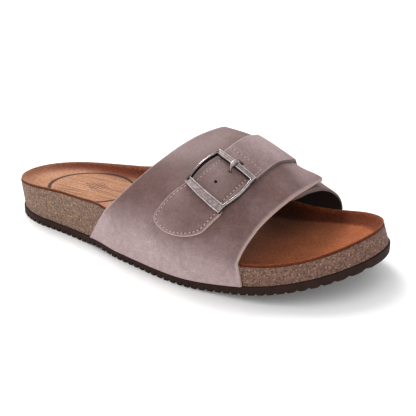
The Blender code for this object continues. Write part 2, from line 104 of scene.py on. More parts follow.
# Side of the footbed: cork height at the lateral and medial rim, and how far the rim leans out
Rim = namedtuple("Rim", "station lateral medial lean")
RIMS = (
    Rim(-135.0, 18.6, 18.6, 1.3),
    Rim(-100.0, 22.8, 20.8, 0.8),
    Rim(-65.0, 25.0, 24.4, 0.2),
    Rim(-20.0, 25.2, 28.0, 0.0),
    Rim(30.0, 19.0, 22.0, 0.0),
    Rim(75.0, 14.2, 13.4, -0.4),
    Rim(110.0, 12.2, 13.0, -2.6),
    Rim(135.0, 12.4, 12.4, -4.6),
)

# Footbed surface: height of the seat over the sole's underside, and the share of the width that is flat
Bed = namedtuple("Bed", "station seat flat")
BEDS = (
    Bed(-135.0, 21.6, 0.74),
    Bed(-90.0, 22.4, 0.70),
    Bed(-40.0, 21.8, 0.66),
    Bed(10.0, 17.2, 0.66),
    Bed(60.0, 12.3, 0.78),
    Bed(100.0, 11.0, 0.86),
    Bed(135.0, 11.0, 0.86),
)
BED_RINGS = (0.985, 0.965, 0.945, 0.92, 0.89, 0.86, 0.82, 0.78, 0.73, 0.67, 0.6, 0.5, 0.38, 0.25, 0.12)

# How near the cup's cove comes to a quarter circle, which is 1
COVE = 0.86

# Painted shade of the cup: spans of ring scale at the heel, of wall share at the toe, of station and of the
# rim
HEEL_SHADE = (0.55, 0.91)
TOE_SHADE = (0.0, 0.3)
HEEL_TO_TOE = (-40.0, 40.0)
RIM_FADE = (0.85, 0.97)

# The last above the rim: place and height of the ridge under the upper
Ridge = namedtuple("Ridge", "station across height")
RIDGES = (
    Ridge(-50.0, 6.0, 77.5),
    Ridge(-10.0, 7.0, 76.6),
    Ridge(20.0, 7.0, 74.4),
    Ridge(41.0, 6.0, 71.2),
    Ridge(64.0, 5.0, 61.0),
    Ridge(90.0, 3.0, 43.0),
)

# Edges of the upper: station at the sole line, at the rim and at the ridge
Edge = namedtuple("Edge", "sole rim ridge")
BACK_LATERAL = Edge(-44.5, -26.0, 20.0)
BACK_MEDIAL = Edge(-38.0, -22.0, 20.0)
FRONT_LATERAL = Edge(77.0, 74.6, 84.2)
FRONT_MEDIAL = Edge(85.0, 86.8, 84.2)

LEATHER = 1.8
PANEL_BITE = 0.7
PANEL_ROWS = 84
PANEL_COLUMNS = 56
WALL_SHARE = 0.16
LATERAL_END = 0.607
MEDIAL_END = 0.332
ARC_PER_T = 240.0

# Forms of the panels: their size in mm, and the spans of station (X) or of t over which they come in
LIFT_T = (0.17, 0.31)
CORNER_LIFT = 2.0
CORNER_X = (66.0, 90.0)
CORNER_T = (0.18, 0.52)
CORNER_CURL = 3.0
CURL_X = (68.0, 84.0)
CURL_T = (0.5, 0.6)
CORNER_RADIUS = 2.6
SHOULDER_DIP = 1.6
DIP_X = (30.0, 60.0)
DIP_FRONT_X = (63.0, 73.0)
DIP_FRONT_SHARE = 0.35
DIP_T = (0.47, 0.57)
DIP_END_T = (0.66, 0.83)
BACK_BULGE = 2.7
BULGE_T = (0.26, 0.42)
BULGE_END_T = (0.43, 0.53)
MEDIAL_DRAW = 4.2
DRAW_T = (0.37, 0.49)

# Leather edges: radius of the worn edge, and distances from the cut where the mesh has lines
EDGE_ROUND = 0.5
RUB_WIDTH = 1.6
EDGE_STEPS = (0.0, 0.12, 0.3, 0.6, 1.1, 1.8, 2.6, 3.6)

# Paler tone of the lateral panel's medial corner, the medial panel, the strap and the tab, a painted
# highlight along the strap's top, and how pale the medial panel's and the tab's edges are
CORNER_PALE = 0.5
PALE_X = (50.0, 70.0)
PALE_T = (0.47, 0.57)
MEDIAL_PALE = 0.15
MEDIAL_RUB = 0.35
STRAP_PALE = 0.25
STRAP_TOP_HIGHLIGHT = 0.42
STRAP_HIGHLIGHT_T = (0.45, 0.51)
TAB_PALE = 0.14
TAB_RUB = 0.5

# Run of the buckled strap over the upper: its axis from the tab's tip to the medial sole line
Axis = namedtuple("Axis", "station x")
STRAP_AXIS = (
    Axis(0.16, 28.5),
    Axis(0.20, 33.5),
    Axis(0.25, 39.8),
    Axis(0.30, 46.3),
    Axis(0.35, 50.4),
    Axis(0.41, 53.1),
    Axis(0.50, 53.5),
    Axis(0.57, 53.0),
    Axis(0.66, 47.0),
    Axis(0.80, 38.0),
    Axis(1.00, 30.0),
)
BAR_T = 0.403
STRAP_HALF = 13.6
STRAP_FOOT_HALF = 17.0
STRAP_END_T = 0.985
STRAP_SKIVE = 0.9
STEP_DOWN_T = (LATERAL_END + 0.006, LATERAL_END + 0.051)
SLOT_HALF = 2.3
SLOT_DEPTH = 4.3
TAB_START = 0.4
TAB_NECK_HALF = 12.0
TAB_HALF = 14.1
TAB_TIP = 60.4
TAB_FLARE = 2.2
TAB_ROUND = 10.0
TAB_SKEW = 0.62
TAB_ROWS = 48
HOLES = ((5.6, 0.0), (17.1, -1.2))
HOLE_RADIUS = 0.95

# Stitching: its distance from the tab's edge, its line on the strap, and how deep the thread pulls in
STITCH_INSET = 1.9
STITCH_REACH = -10.4
STITCH_ACROSS = (-12.0, 11.4)
STITCH_END = -2.4
TAB_STITCH_START = 3.0
THREAD_SINK = 0.2
NEEDLE_HOLE = (0.9, 0.3)

# Buckle: places along the strap's axis, measured from the middle of the top bar toward the tab's tip
FRAME_HALF = 14.4
FRAME_BOW = 1.4
FRAME_SIDE = 1.2
FRAME_TOP_BAR = 3.7
FRAME_LOW_BAR = 5.4
FRAME_LENGTH = 32.6
FRAME_TWIST = 0.12
FRAME_THICK = 2.3
PRONG_THICK = 0.9
PRONG_HALF = 1.25
PIN_HALF = 0.6

PANEL_TOP = 2 * LEATHER - PANEL_BITE
STRAP_LOW = PANEL_TOP + GAP
STRAP_HIGH = STRAP_LOW + LEATHER
FRAME_LOW = STRAP_HIGH + GAP
FRAME_HIGH = FRAME_LOW + FRAME_THICK

# Section of the buckle's bars: distance in from an edge, height and how much dark patina lies there
Bar = namedtuple("Bar", "inset lift patina")
BAR_PROFILE = (
    Bar(0.0, 0.0, 1.0),
    Bar(0.0, 1.5, 0.5),
    Bar(0.08, 1.95, 0.1),
    Bar(0.25, 2.25, 0.0),
    Bar(0.5, 2.3, 0.0),
    Bar(0.75, 2.15, 0.3),
    Bar(0.95, 2.0, 0.55),
    Bar(1.5, 1.98, 0.3),
)

# Soft creases of the leather: two ends on the upper as station and t, half width and depth
Crease = namedtuple("Crease", "x0 t0 x1 t1 spread depth")
CREASES = (
    Crease(-18.0, 0.10, 40.0, 0.14, 9.0, 0.5),
    Crease(58.0, 0.20, 82.0, 0.30, 7.0, 0.45),
    Crease(20.0, 0.36, 30.0, 0.50, 8.0, 0.4),
    Crease(-8.0, 0.22, 8.0, 0.36, 9.0, -0.35),
)
CREASE_FADE = 0.3


def curve(rows, column):
    """Smooth curve through a table's column, held level past its ends."""
    xs = [row.station for row in rows]
    ys = [getattr(row, column) for row in rows]
    slopes = [(ys[i + 1] - ys[i]) / (xs[i + 1] - xs[i]) for i in range(len(xs) - 1)]
    tangents = [slopes[0]] + [(a + b) / 2 for a, b in zip(slopes, slopes[1:])] + [slopes[-1]]

    def value(station):
        if station <= xs[0]:
            return ys[0]
        if station >= xs[-1]:
            return ys[-1]
        i = bisect_right(xs, station) - 1
        span = xs[i + 1] - xs[i]
        t = (station - xs[i]) / span
        rise = t * t * (3 - 2 * t)
        lead = t * (1 - t) ** 2 * span * tangents[i]
        trail = t * t * (t - 1) * span * tangents[i + 1]
        return ys[i] + (ys[i + 1] - ys[i]) * rise + lead + trail

    return value


centre = curve(PLAN, "centre")
plan_half = curve(PLAN, "half_width")
rim_lateral = curve(RIMS, "lateral")
rim_medial = curve(RIMS, "medial")
rim_lean = curve(RIMS, "lean")
bed_seat = curve(BEDS, "seat")
bed_flat = curve(BEDS, "flat")
ridge_across = curve(RIDGES, "across")
ridge_height = curve(RIDGES, "height")
strap_axis = curve(STRAP_AXIS, "x")


def mix(a, b, share):
    """Value between a and b."""
    return a + (b - a) * share


def ease(share):
    """Share from 0 to 1 with soft ends, held outside that range."""
    t = min(1.0, max(0.0, share))
    return t * t * (3 - 2 * t)


def soft(value, span):
    """Soft step from 0 at the start of a span to 1 at its end."""
    return ease((value - span[0]) / (span[1] - span[0]))


def end_round(distance, depth):
    """Share of the full width at a distance from an end that is rounded over a depth."""
    short = max(0.0, 1 - distance / depth)
    return math.sqrt(max(0.0, 1 - short * short))


def fall_away(distance, radius):
    """How far a rounded edge falls back at a distance from its end."""
    return radius * (1 - end_round(distance, radius))


def half_width(x):
    """Half the outsole's width, with the heel and toe rounded."""
    return plan_half(x) * end_round(x - HEEL_X, HEEL_ROUND) * end_round(TOE_X - x, TOE_ROUND)


def ground(x):
    """Height of the outsole's underside: flat heel and forefoot, raised waist and toe."""
    waist = (x - WAIST_START) / (WAIST_END - WAIST_START)
    arch = WAIST_LIFT * math.sin(math.pi * waist) ** 2 if 0 < waist < 1 else 0.0
    toe = max(0.0, (x - TOE_SPRING_START) / (TOE_X - TOE_SPRING_START))
    return arch + TOE_SPRING * toe * toe


def cork_base(x):
    """Height of the cork's underside."""
    return ground(x) + OUTSOLE_THICK + GAP


def rim_height(x, side):
    """Height of the rim, where side runs from -1 at the lateral edge to 1 at the medial edge."""
    return ground(x) + OUTSOLE_THICK + mix(rim_lateral(x), rim_medial(x), ease((side + 1) / 2))


def side_lean(x, share):
    """How far the footbed's side stands out from the outsole's plan, from its foot (0) to its rim (1)."""
    return mix(-CORK_INSET, rim_lean(x), share)


def wall_share(x, scale):
    """How far up the cup's wall a point of the footbed is: 0 on its floor and 1 at the rim."""
    flat = bed_flat(x)
    return max(0.0, (scale - flat) / (1 - flat))


def bed_height(x, side, scale):
    """Height of the insole's top, where scale runs from 0 on the spine to 1 at the rim."""
    inner_x = mix(min(max(x, SPINE_HEEL_X), SPINE_TOE_X), x, scale)
    seat = ground(inner_x) + bed_seat(inner_x)
    wall = wall_share(x, scale)
    cove = (1 - math.sqrt(1 - COVE * wall * wall)) / (1 - math.sqrt(1 - COVE))
    return mix(seat, rim_height(x, side), cove)


def ring_walk():
    """Stations of a loop round the sole with the side's sign: heel, lateral edge, toe and medial edge."""
    middle = (HEEL_X + TOE_X) / 2
    stations = [middle - LENGTH / 2 * math.cos(math.pi * j / RING_STEPS) for j in range(RING_STEPS + 1)]
    return [(x, -1) for x in stations] + [(x, 1) for x in stations[-2:0:-1]]


def sole_ring(lean, scale, height):
    """Loop round the sole, with functions of the station for its lean and height."""
    points = []
    for x, hand in ring_walk():
        wide = half_width(x)
        side = hand * wide / plan_half(x)
        spine_x = min(max(x, SPINE_HEEL_X), SPINE_TOE_X)
        spine_y = centre(spine_x)
        reach_x = x - spine_x
        reach_y = centre(x) + hand * wide - spine_y
        reach = math.hypot(reach_x, reach_y)
        grown = scale * (reach + lean(x)) / reach
        points.append((spine_x + grown * reach_x, spine_y + grown * reach_y, height(x, side)))
    return points


def shoulder_dip(x, t):
    """How far the front of the medial shoulder lies inside the round section, most of all under the strap."""
    along = soft(x, DIP_X) * (1 - DIP_FRONT_SHARE * soft(x, DIP_FRONT_X))
    return SHOULDER_DIP * along * soft(t, DIP_T) * (1 - soft(t, DIP_END_T))


def section_point(x, t, lift):
    """Point of the upper's section at a station: t runs from the lateral sole line (0) to the medial one (1).

    The wall stands against the footbed's side up to the rim, and two quarter ellipses meet on the ridge.
    Lift is the distance out from the last.
    """
    hand = -1 if t < 0.5 else 1
    run = 2 * min(t, 1 - t)
    wall = 2 * WALL_SHARE
    rim_z = rim_height(x, hand)
    if run < wall:
        share = run / wall
        stand = half_width(x) + side_lean(x, share) + GAP + lift
        return (x, centre(x) + hand * stand, mix(cork_base(x), rim_z, share))
    angle = math.pi / 2 * (run - wall) / (1 - wall)
    ridge_y = ridge_across(x)
    reach = hand * (centre(x) - ridge_y) + half_width(x) + rim_lean(x) + GAP
    rise = ridge_height(x) - rim_z
    out = math.cos(angle) * rise
    up = math.sin(angle) * reach
    size = math.hypot(out, up)
    stand = lift - shoulder_dip(x, t)
    y = ridge_y + hand * (reach * math.cos(angle) + stand * out / size)
    return (x, y, rim_z + rise * math.sin(angle) + stand * up / size)


def edge_station(lateral, medial, t):
    """Station of an edge of the upper, which is close to straight when seen from the side."""
    edge = lateral if t < 0.5 else medial
    run = 2 * min(t, 1 - t)
    wall = 2 * WALL_SHARE
    if run < wall:
        return mix(edge.sole, edge.rim, run / wall)
    return mix(edge.rim, edge.ridge, math.sin(math.pi / 2 * (run - wall) / (1 - wall)))


def lateral_lift(x, t):
    """Lift of the lateral panel's inner face: on the footbed at the sole, over the medial panel above."""
    over = (LEATHER - PANEL_BITE) * soft(t, LIFT_T)
    corner = CORNER_LIFT * soft(x, CORNER_X) * soft(t, CORNER_T)
    return over + corner + CORNER_CURL * soft(x, CURL_X) * soft(t, CURL_T)


def lateral_step(t):
    """How far the lateral panel's front edge draws back at its round corner."""
    return fall_away((LATERAL_END - t) * ARC_PER_T, CORNER_RADIUS)


def medial_step(t):
    """How far the medial panel's front edge draws back where the lateral panel hides it."""
    return MEDIAL_DRAW * (1 - soft(t, DRAW_T))


def back_bulge(t):
    """How far the back edge stands out toward the heel on the lateral shoulder."""
    return BACK_BULGE * soft(t, BULGE_T) * (1 - soft(t, BULGE_END_T))


def crease_lift(x, t):
    """Rise or dip of the leather from its soft creases."""
    total = 0.0
    for crease in CREASES:
        along = (crease.x1 - crease.x0, (crease.t1 - crease.t0) * ARC_PER_T)
        here = (x - crease.x0, (t - crease.t0) * ARC_PER_T)
        length = math.hypot(*along)
        share = (here[0] * along[0] + here[1] * along[1]) / length**2
        off = (here[0] * along[1] - here[1] * along[0]) / length
        ends = ease(share / CREASE_FADE) * ease((1 - share) / CREASE_FADE)
        total -= crease.depth * ends * math.exp(-((off / crease.spread) ** 2))
    return total


Row = namedtuple("Row", "station t x lean rate grade")


def strap_walk():
    """Rows along the strap's axis: distance from the top bar, place on the upper and lean of the axis.

    The rate is the length of arc for a unit of t, and the grade that for a unit of x.
    """
    lift = 2 * LEATHER
    step = 0.005
    first_t, last_t = 0.17, 0.995
    rows = []
    for heading in (-1, 1):
        t, reach = BAR_T, 0.0
        while first_t < t < last_t:
            x = strap_axis(t)
            rate = math.dist(section_point(x, t - step, lift), section_point(x, t + step, lift)) / (2 * step)
            grade = math.dist(section_point(x - 1, t, lift), section_point(x + 1, t, lift)) / 2
            slide = (strap_axis(t + step) - strap_axis(t - step)) / (2 * step)
            pace = math.hypot(rate, slide * grade)
            rows.append(Row(reach, t, x, -slide * grade / pace, rate, grade))
            t += heading * step
            reach -= heading * step * pace
    return sorted(set(rows))


STRAP_ROWS = strap_walk()
axis_t = curve(STRAP_ROWS, "t")
axis_x = curve(STRAP_ROWS, "x")
axis_lean = curve(STRAP_ROWS, "lean")
axis_rate = curve(STRAP_ROWS, "rate")
axis_grade = curve(STRAP_ROWS, "grade")


def strap_spot(reach, across):
    """Station and t at a distance along the strap's axis and a distance across it."""
    lean = axis_lean(reach)
    level = math.sqrt(1 - lean * lean) / axis_grade(reach)
    return axis_x(reach) + across * level, axis_t(reach) + across * lean / axis_rate(reach)


def strap_point(reach, across, lift):
    """Point over the upper at a distance along the strap's axis and a distance across it."""
    return section_point(*strap_spot(reach, across), lift)


def strap_reach(t):
    """Distance along the strap's axis at a t value."""
    return min(STRAP_ROWS, key=lambda found: abs(found.t - t)).station


def strap_low(t):
    """Lift of the strap's inner face: over the lateral panel's end, then down on the medial panel."""
    return mix(STRAP_LOW, LEATHER + GAP, soft(t, STEP_DOWN_T))


def tab_lift(reach, across):
    """Lift of the tab's inner face, which follows the lateral panel down to the footbed's side."""
    x, t = strap_spot(reach, across)
    return lateral_lift(0.0, t) + LEATHER + GAP + crease_lift(x, t)


def spread(length, middle):
    """Distances across a sheet, close together at its two cut edges, with middle steps between them."""
    room = 2.4 * EDGE_STEPS[-1]
    near = [step * min(1.0, length / room) for step in EDGE_STEPS]
    inner = [mix(near[-1], length - near[-1], i / middle) for i in range(1, middle)]
    return near + inner + [length - step for step in reversed(near)]


def rub(distance):
    """How pale the leather is at a distance from its cut edge: rubbed pale, with a painted highlight on the
    edge's round.
    """
    return 1 - ease(distance / RUB_WIDTH)


def dent(distance, width):
    """Share of a seam's depth at a distance from its line."""
    return math.exp(-((distance / width) ** 2))


def placed(points):
    """Points in millimetres as metres round the middle of the sandal's box."""
    return [((x - MIDDLE_X) * MM, (y - MIDDLE_Y) * MM, z * MM) for x, y, z in points]


def solid(name, points, faces, looks, materials, sharp=40):
    """Piece from points in millimetres and faces, each with the number of its material, facing outwards."""
    mesh = bpy.data.meshes.new(name)
    mesh.from_pydata(placed(points), [], faces)
    for material in materials:
        mesh.materials.append(material)
    mesh.polygons.foreach_set("material_index", looks)
    made = bmesh.new()
    made.from_mesh(mesh)
    bmesh.ops.recalc_face_normals(made, faces=made.faces)
    made.to_mesh(mesh)
    made.free()
    mesh.shade_smooth()
    mesh.set_sharp_from_angle(angle=math.radians(sharp))
    piece = bpy.data.objects.new(name, mesh)
    bpy.context.scene.collection.objects.link(piece)
    return piece


def mark(piece, name, shares):
    """Store a share for each point of a piece, which its material reads by name."""
    layer = piece.data.attributes.new(name, "FLOAT", "POINT")
    layer.data.foreach_set("value", shares)


def loop_faces(loops, closed=False):
    """Faces between loops of equal length, given as lists of point numbers."""
    faces = []
    for near, far in zip(loops, loops[1:] + loops[:1] if closed else loops[1:]):
        count = len(near)
        for i in range(count):
            j = (i + 1) % count
            faces.append((near[i], near[j], far[j], far[i]))
    return faces


def numbered(loops):
    """Points of all loops in one list, and the loops as lists of their numbers."""
    points, numbers = [], []
    for loop in loops:
        numbers.append(list(range(len(points), len(points) + len(loop))))
        points += loop
    return points, numbers


def ring_solid(name, rings, materials, sharp=40):
    """Closed piece through a stack of sole rings, with a ladder of faces across the first and last."""
    points, loops = numbered(rings)
    faces = loop_faces(loops)
    for loop in (loops[0], loops[-1]):
        count = len(loop)
        toe = count // 2
        for i in range(1, toe - 1):
            faces.append((loop[i], loop[i + 1], loop[count - i - 1], loop[count - i]))
        faces.append((loop[0], loop[1], loop[-1]))
        faces.append((loop[toe - 1], loop[toe], loop[toe + 1]))
    return solid(name, points, faces, [0] * len(faces), materials, sharp)


def tube_solid(name, sections, materials, sharp=40):
    """Closed piece through a row of sections with equal numbers of points, capped at both ends."""
    points, loops = numbered(sections)
    faces = loop_faces(loops) + [tuple(loops[0]), tuple(loops[-1])]
    return solid(name, points, faces, [0] * len(faces), materials, sharp)


# Place on a leather sheet: its point on the grain side, its point on the flesh side and how pale it is from
# wear and painted highlight
Spot = namedtuple("Spot", "top under wear")


def sheet_solid(name, grid, materials, strips=1):
    """Closed sheet of leather through rows of spots, with materials for grain side, flesh side and cut edge.

    The cut edge takes the outer strip of the grain side, and as many strips as are asked for at the last row.
    """
    trim = 2
    points, tops = numbered([[spot.top for spot in row] for row in grid])
    under_points, unders = numbered([[spot.under for spot in row] for row in grid])
    unders = [[n + len(points) for n in row] for row in unders]
    points += under_points
    rows, columns = len(tops), len(tops[0])
    faces, looks = [], []
    for i in range(rows - 1):
        for j in range(columns - 1):
            edge = min(i, j, columns - 2 - j) < 1 or rows - 2 - i < strips
            for side, look in ((tops, trim if edge else 0), (unders, 1)):
                faces.append((side[i][j], side[i][j + 1], side[i + 1][j + 1], side[i + 1][j]))
                looks.append(look)
    for i in range(rows - 1):
        for j in (0, columns - 1):
            faces.append((tops[i][j], tops[i + 1][j], unders[i + 1][j], unders[i][j]))
            looks.append(trim)
    for j in range(columns - 1):
        for i in (0, rows - 1):
            faces.append((tops[i][j], tops[i][j + 1], unders[i][j + 1], unders[i][j]))
            looks.append(trim)
    piece = solid(name, points, faces, looks, materials)
    mark(piece, "wear", [spot.wear for row in grid for spot in row] + [0.0] * len(under_points))
    return piece


def settle(piece):
    """Make the shape that a piece's modifiers give its own mesh."""
    made = bpy.data.meshes.new_from_object(piece.evaluated_get(bpy.context.evaluated_depsgraph_get()))
    piece.modifiers.clear()
    piece.data = made
    made.name = piece.name


def cut(piece, cutters):
    """Take the volume of cutters out of a piece."""
    for cutter in cutters:
        taken = piece.modifiers.new("cut_" + cutter.name, "BOOLEAN")
        taken.operation = "DIFFERENCE"
        taken.solver = "EXACT"
        taken.object = cutter
    settle(piece)
    for cutter in cutters:
        bpy.data.objects.remove(cutter)


def finish_piece(piece, slot, *nodes):
    """Piece rides with the sandal and stands for its solids, which it hides."""
    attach(piece, "root")
    if nodes:
        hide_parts(*nodes)


def linear(code):
    """Linear colour from an sRGB hex value."""
    shares = [int(code[i : i + 2], 16) / 255 for i in (1, 3, 5)]
    return tuple(s / 12.92 if s <= 0.04045 else ((s + 0.055) / 1.055) ** 2.4 for s in shares)


def opaque(colour):
    """Colour with full cover."""
    return (*colour, 1.0)


def per_mm(size):
    """Texture scale on metres for a pattern with this size in millimetres."""
    return 1000.0 / size


def add_node(tree, kind, inputs=None, **settings):
    """Node with its settings, whose inputs take values or are linked from sockets."""
    node = tree.nodes.new(kind)
    for key, value in settings.items():
        setattr(node, key, value)
    for key, value in (inputs or {}).items():
        socket = node.inputs[key]
        if isinstance(value, bpy.types.NodeSocket):
            tree.links.new(value, socket)
        else:
            socket.default_value = value
    return node


def axis(tree, vector, name):
    """One axis of a vector."""
    return add_node(tree, "ShaderNodeSeparateXYZ", {"Vector": vector}).outputs[name]


def attribute(tree, name):
    """Share that a piece stores for each of its points."""
    return add_node(tree, "ShaderNodeAttribute", attribute_name=name).outputs["Fac"]


def noise(tree, vector, size, detail, output="Fac"):
    """Cloudy noise with a pattern of this size in millimetres."""
    inputs = {"Vector": vector, "Scale": per_mm(size), "Detail": detail}
    return add_node(tree, "ShaderNodeTexNoise", inputs).outputs[output]


def cells(tree, vector, size, output, **settings):
    """Colours or distances of cells with this size in millimetres."""
    inputs = {"Vector": vector, "Scale": per_mm(size)}
    return add_node(tree, "ShaderNodeTexVoronoi", inputs, **settings).outputs[output]


def maths(tree, operation, *values, **settings):
    """Result of an operation on numbers or outputs."""
    node = add_node(tree, "ShaderNodeMath", dict(enumerate(values)), operation=operation, **settings)
    return node.outputs["Value"]


def vectors(tree, operation, *values, output="Vector"):
    """Result of an operation on vectors or outputs."""
    node = add_node(tree, "ShaderNodeVectorMath", dict(enumerate(values)), operation=operation)
    return node.outputs[output]


def remap(tree, value, span, result, kind="LINEAR"):
    """Value carried from a span to a result and held past its ends."""
    inputs = {
        "Value": value,
        "From Min": span[0],
        "From Max": span[1],
        "To Min": result[0],
        "To Max": result[1],
    }
    return add_node(tree, "ShaderNodeMapRange", inputs, interpolation_type=kind).outputs["Result"]


def shade(tree, pattern, low, high):
    """Noise carried from the span that it mostly keeps to, 0.3 to 0.7, to low and high."""
    return remap(tree, pattern, (0.3, 0.7), (low, high))


def blend(tree, share, a, b, kind="MIX"):
    """Colour between a and b by a share, or another blend of them."""
    inputs = {"Factor": share, "A": a, "B": b}
    return add_node(tree, "ShaderNodeMix", inputs, data_type="RGBA", blend_type=kind).outputs["Result"]


def multiply(tree, a, b):
    """Product of two colours, or of a colour and a share."""
    return blend(tree, 1.0, a, b, "MULTIPLY")


def ramp(tree, share, *stops):
    """Colour from a row of stops, as places with hex colours."""
    node = add_node(tree, "ShaderNodeValToRGB", {"Fac": share})
    elements = node.color_ramp.elements
    while len(elements) < len(stops):
        elements.new(0.5)
    for element, (place, code) in zip(elements, stops):
        element.position = place
        element.color = opaque(linear(code))
    return node.outputs["Color"]


def bump(tree, height, strength, depth):
    """Normal of a surface with a relief of this depth in millimetres."""
    inputs = {"Height": height, "Strength": strength, "Distance": depth * MM}
    return add_node(tree, "ShaderNodeBump", inputs).outputs["Normal"]


def new_material(name, **constants):
    """Material with a shader whose plain sockets are set, its tree, shader and Object coordinates."""
    material = bpy.data.materials.new(name)
    material.use_nodes = True
    tree = material.node_tree
    shader = tree.nodes["Principled BSDF"]
    for key, value in constants.items():
        shader.inputs[key.replace("_", " ")].default_value = value
    place = add_node(tree, "ShaderNodeTexCoord").outputs["Object"]
    return material, tree, shader, place


def wire(tree, shader, **outputs):
    """Link outputs to the shader's sockets."""
    for key, output in outputs.items():
        tree.links.new(output, shader.inputs[key.replace("_", " ")])


def size_property(name, description, default, low, high):
    """Setting for a size in millimetres."""
    return bpy.props.FloatProperty(name=name, description=description, default=default, min=low, max=high)


def colour_property(name, description, code):
    """Setting for a colour, from an sRGB hex value."""
    return bpy.props.FloatVectorProperty(
        name=name, description=description, subtype="COLOR", default=linear(code)
    )


class SandalSizes(bpy.types.PropertyGroup):
    """Sizes of the stitching and of the grain of the materials, in millimetres."""

    stitch_pitch: size_property("Stitch pitch", "Distance from one stitch to the next in mm", 2.6, 1.5, 6.0)
    stitch_length: size_property("Stitch length", "Length of thread that shows in mm", 1.85, 0.5, 5.0)
    thread_radius: size_property("Thread radius", "Half the thread's thickness in mm", 0.34, 0.1, 1.0)
    cork_grain: size_property("Cork grain", "Size of a cork granule in mm", 1.05, 0.5, 5.0)
    leather_grain: size_property("Leather grain", "Distance between the leather's pores in mm", 0.7, 0.3, 3.0)


class SandalColours(bpy.types.PropertyGroup):
    """Main colours of the sandal's materials."""

    leather: colour_property("Leather", "Middle tone of the upper", "#624642")
    # The pale tone serves rubbed edges, a painted reflection near the sole and painted highlights on top
    leather_light: colour_property("Worn leather", "Rubbed tone of the upper", "#A89192")
    # Cut edges: pale raw edges with painted light on the lateral panel and tab, painted shade on the strap's
    # and medial panel's edges
    raw_edge: colour_property("Raw edge", "Cut edges of the lateral panel and the tab", "#B79D91")
    dark_edge: colour_property("Dark edge", "Burnished edges of the strap and medial panel", "#59443E")
    # Flesh side: a dark lining, taken to near black as painted shade inside the upper
    lining: colour_property("Lining", "Flesh side of the leather", "#1E1512")
    thread: colour_property("Thread", "Stitching", "#B8A196")
    suede: colour_property("Suede", "Middle tone of the insole", "#A7785C")
    rubber: colour_property("Rubber", "Outsole", "#2A1914")


def make_rubber(colours):
    """Moulded brown rubber: matt and faintly mottled, with a fine moulded grit."""
    material, tree, shader, place = new_material(
        "moulded_rubber", Roughness=0.8, IOR=1.35, Specular_IOR_Level=0.3
    )
    # Mottling of 6 mm and moulded grit of 0.6 mm, drawn coarse enough to show
    mottled = ramp(tree, noise(tree, place, 6.0, 4.0), (0.3, "#221410"), (0.7, "#34211B"))
    tinted = blend(tree, 0.5, mottled, opaque(colours.rubber))
    grit = noise(tree, place, 0.6, 2.0)
    wire(tree, shader, Base_Color=tinted, Normal=bump(tree, grit, 0.25, 0.15))
    return material


def make_cork(sizes):
    """Ground and pressed cork: granules of many browns, pale chips and dark seams, dry and matt."""
    material, tree, shader, place = new_material("pressed_cork", Roughness=0.85, IOR=1.4)
    grain = sizes.cork_grain
    bend = noise(tree, place, 2.5, 2.0, "Color")
    warped = vectors(tree, "MULTIPLY_ADD", bend, (0.9 * MM, 0.9 * MM, 0.9 * MM), place)
    seams = cells(tree, warped, grain, "Distance", feature="DISTANCE_TO_EDGE")
    granules = add_node(tree, "ShaderNodeSeparateColor", {"Color": cells(tree, warped, grain, "Color")})
    chips = add_node(tree, "ShaderNodeSeparateColor", {"Color": cells(tree, warped, 0.55 * grain, "Color")})
    browns = ((0.0, "#4A342B"), (0.25, "#6A5046"), (0.55, "#826659"), (0.8, "#957665"), (1.0, "#B29079"))
    specks = ((0.0, "#5A4137"), (0.5, "#836859"), (0.86, "#8F7363"), (0.93, "#CBA67C"), (1.0, "#DDBE96"))
    body = ramp(tree, granules.outputs["Red"], *browns)
    speck = ramp(tree, chips.outputs["Green"], *specks)
    seam_dark = remap(tree, seams, (0.0, 0.12), (0.62, 1.0))
    shaded = multiply(tree, blend(tree, 0.55, body, speck), seam_dark)
    # The toe end is darker and redder than the heel end
    toe = remap(tree, axis(tree, place, "X"), (-60 * MM, 90 * MM), (0.0, 1.0))
    toned = blend(tree, toe, (0.93, 0.93, 0.93, 1.0), (0.78, 0.7, 0.72, 1.0))
    wire(tree, shader, Base_Color=multiply(tree, shaded, toned), Normal=bump(tree, seams, 0.5, 0.5))
    return material


# Print on the heel of the insole: an oval line, and a small lozenge of dots at its middle
RING_MIDDLE = (-75.0, -2.6, 0.0)
RING_HALF = (31.5, 27.0)
RING_TURN = 5.0
RING_LINE = 2.4
LOZENGE_MIDDLE = (-73.5, 1.0, 0.0)
LOZENGE_HALF = (11.0, 7.0)
DOT_PITCH = 2.4
DOT_RADIUS = 0.9
PRINT = "#3E2421"


def flat_scale(half):
    """Scale that makes an oval of these half sizes in millimetres a circle of radius 1."""
    return (1 / (half[0] * MM), 1 / (half[1] * MM), 0.0)


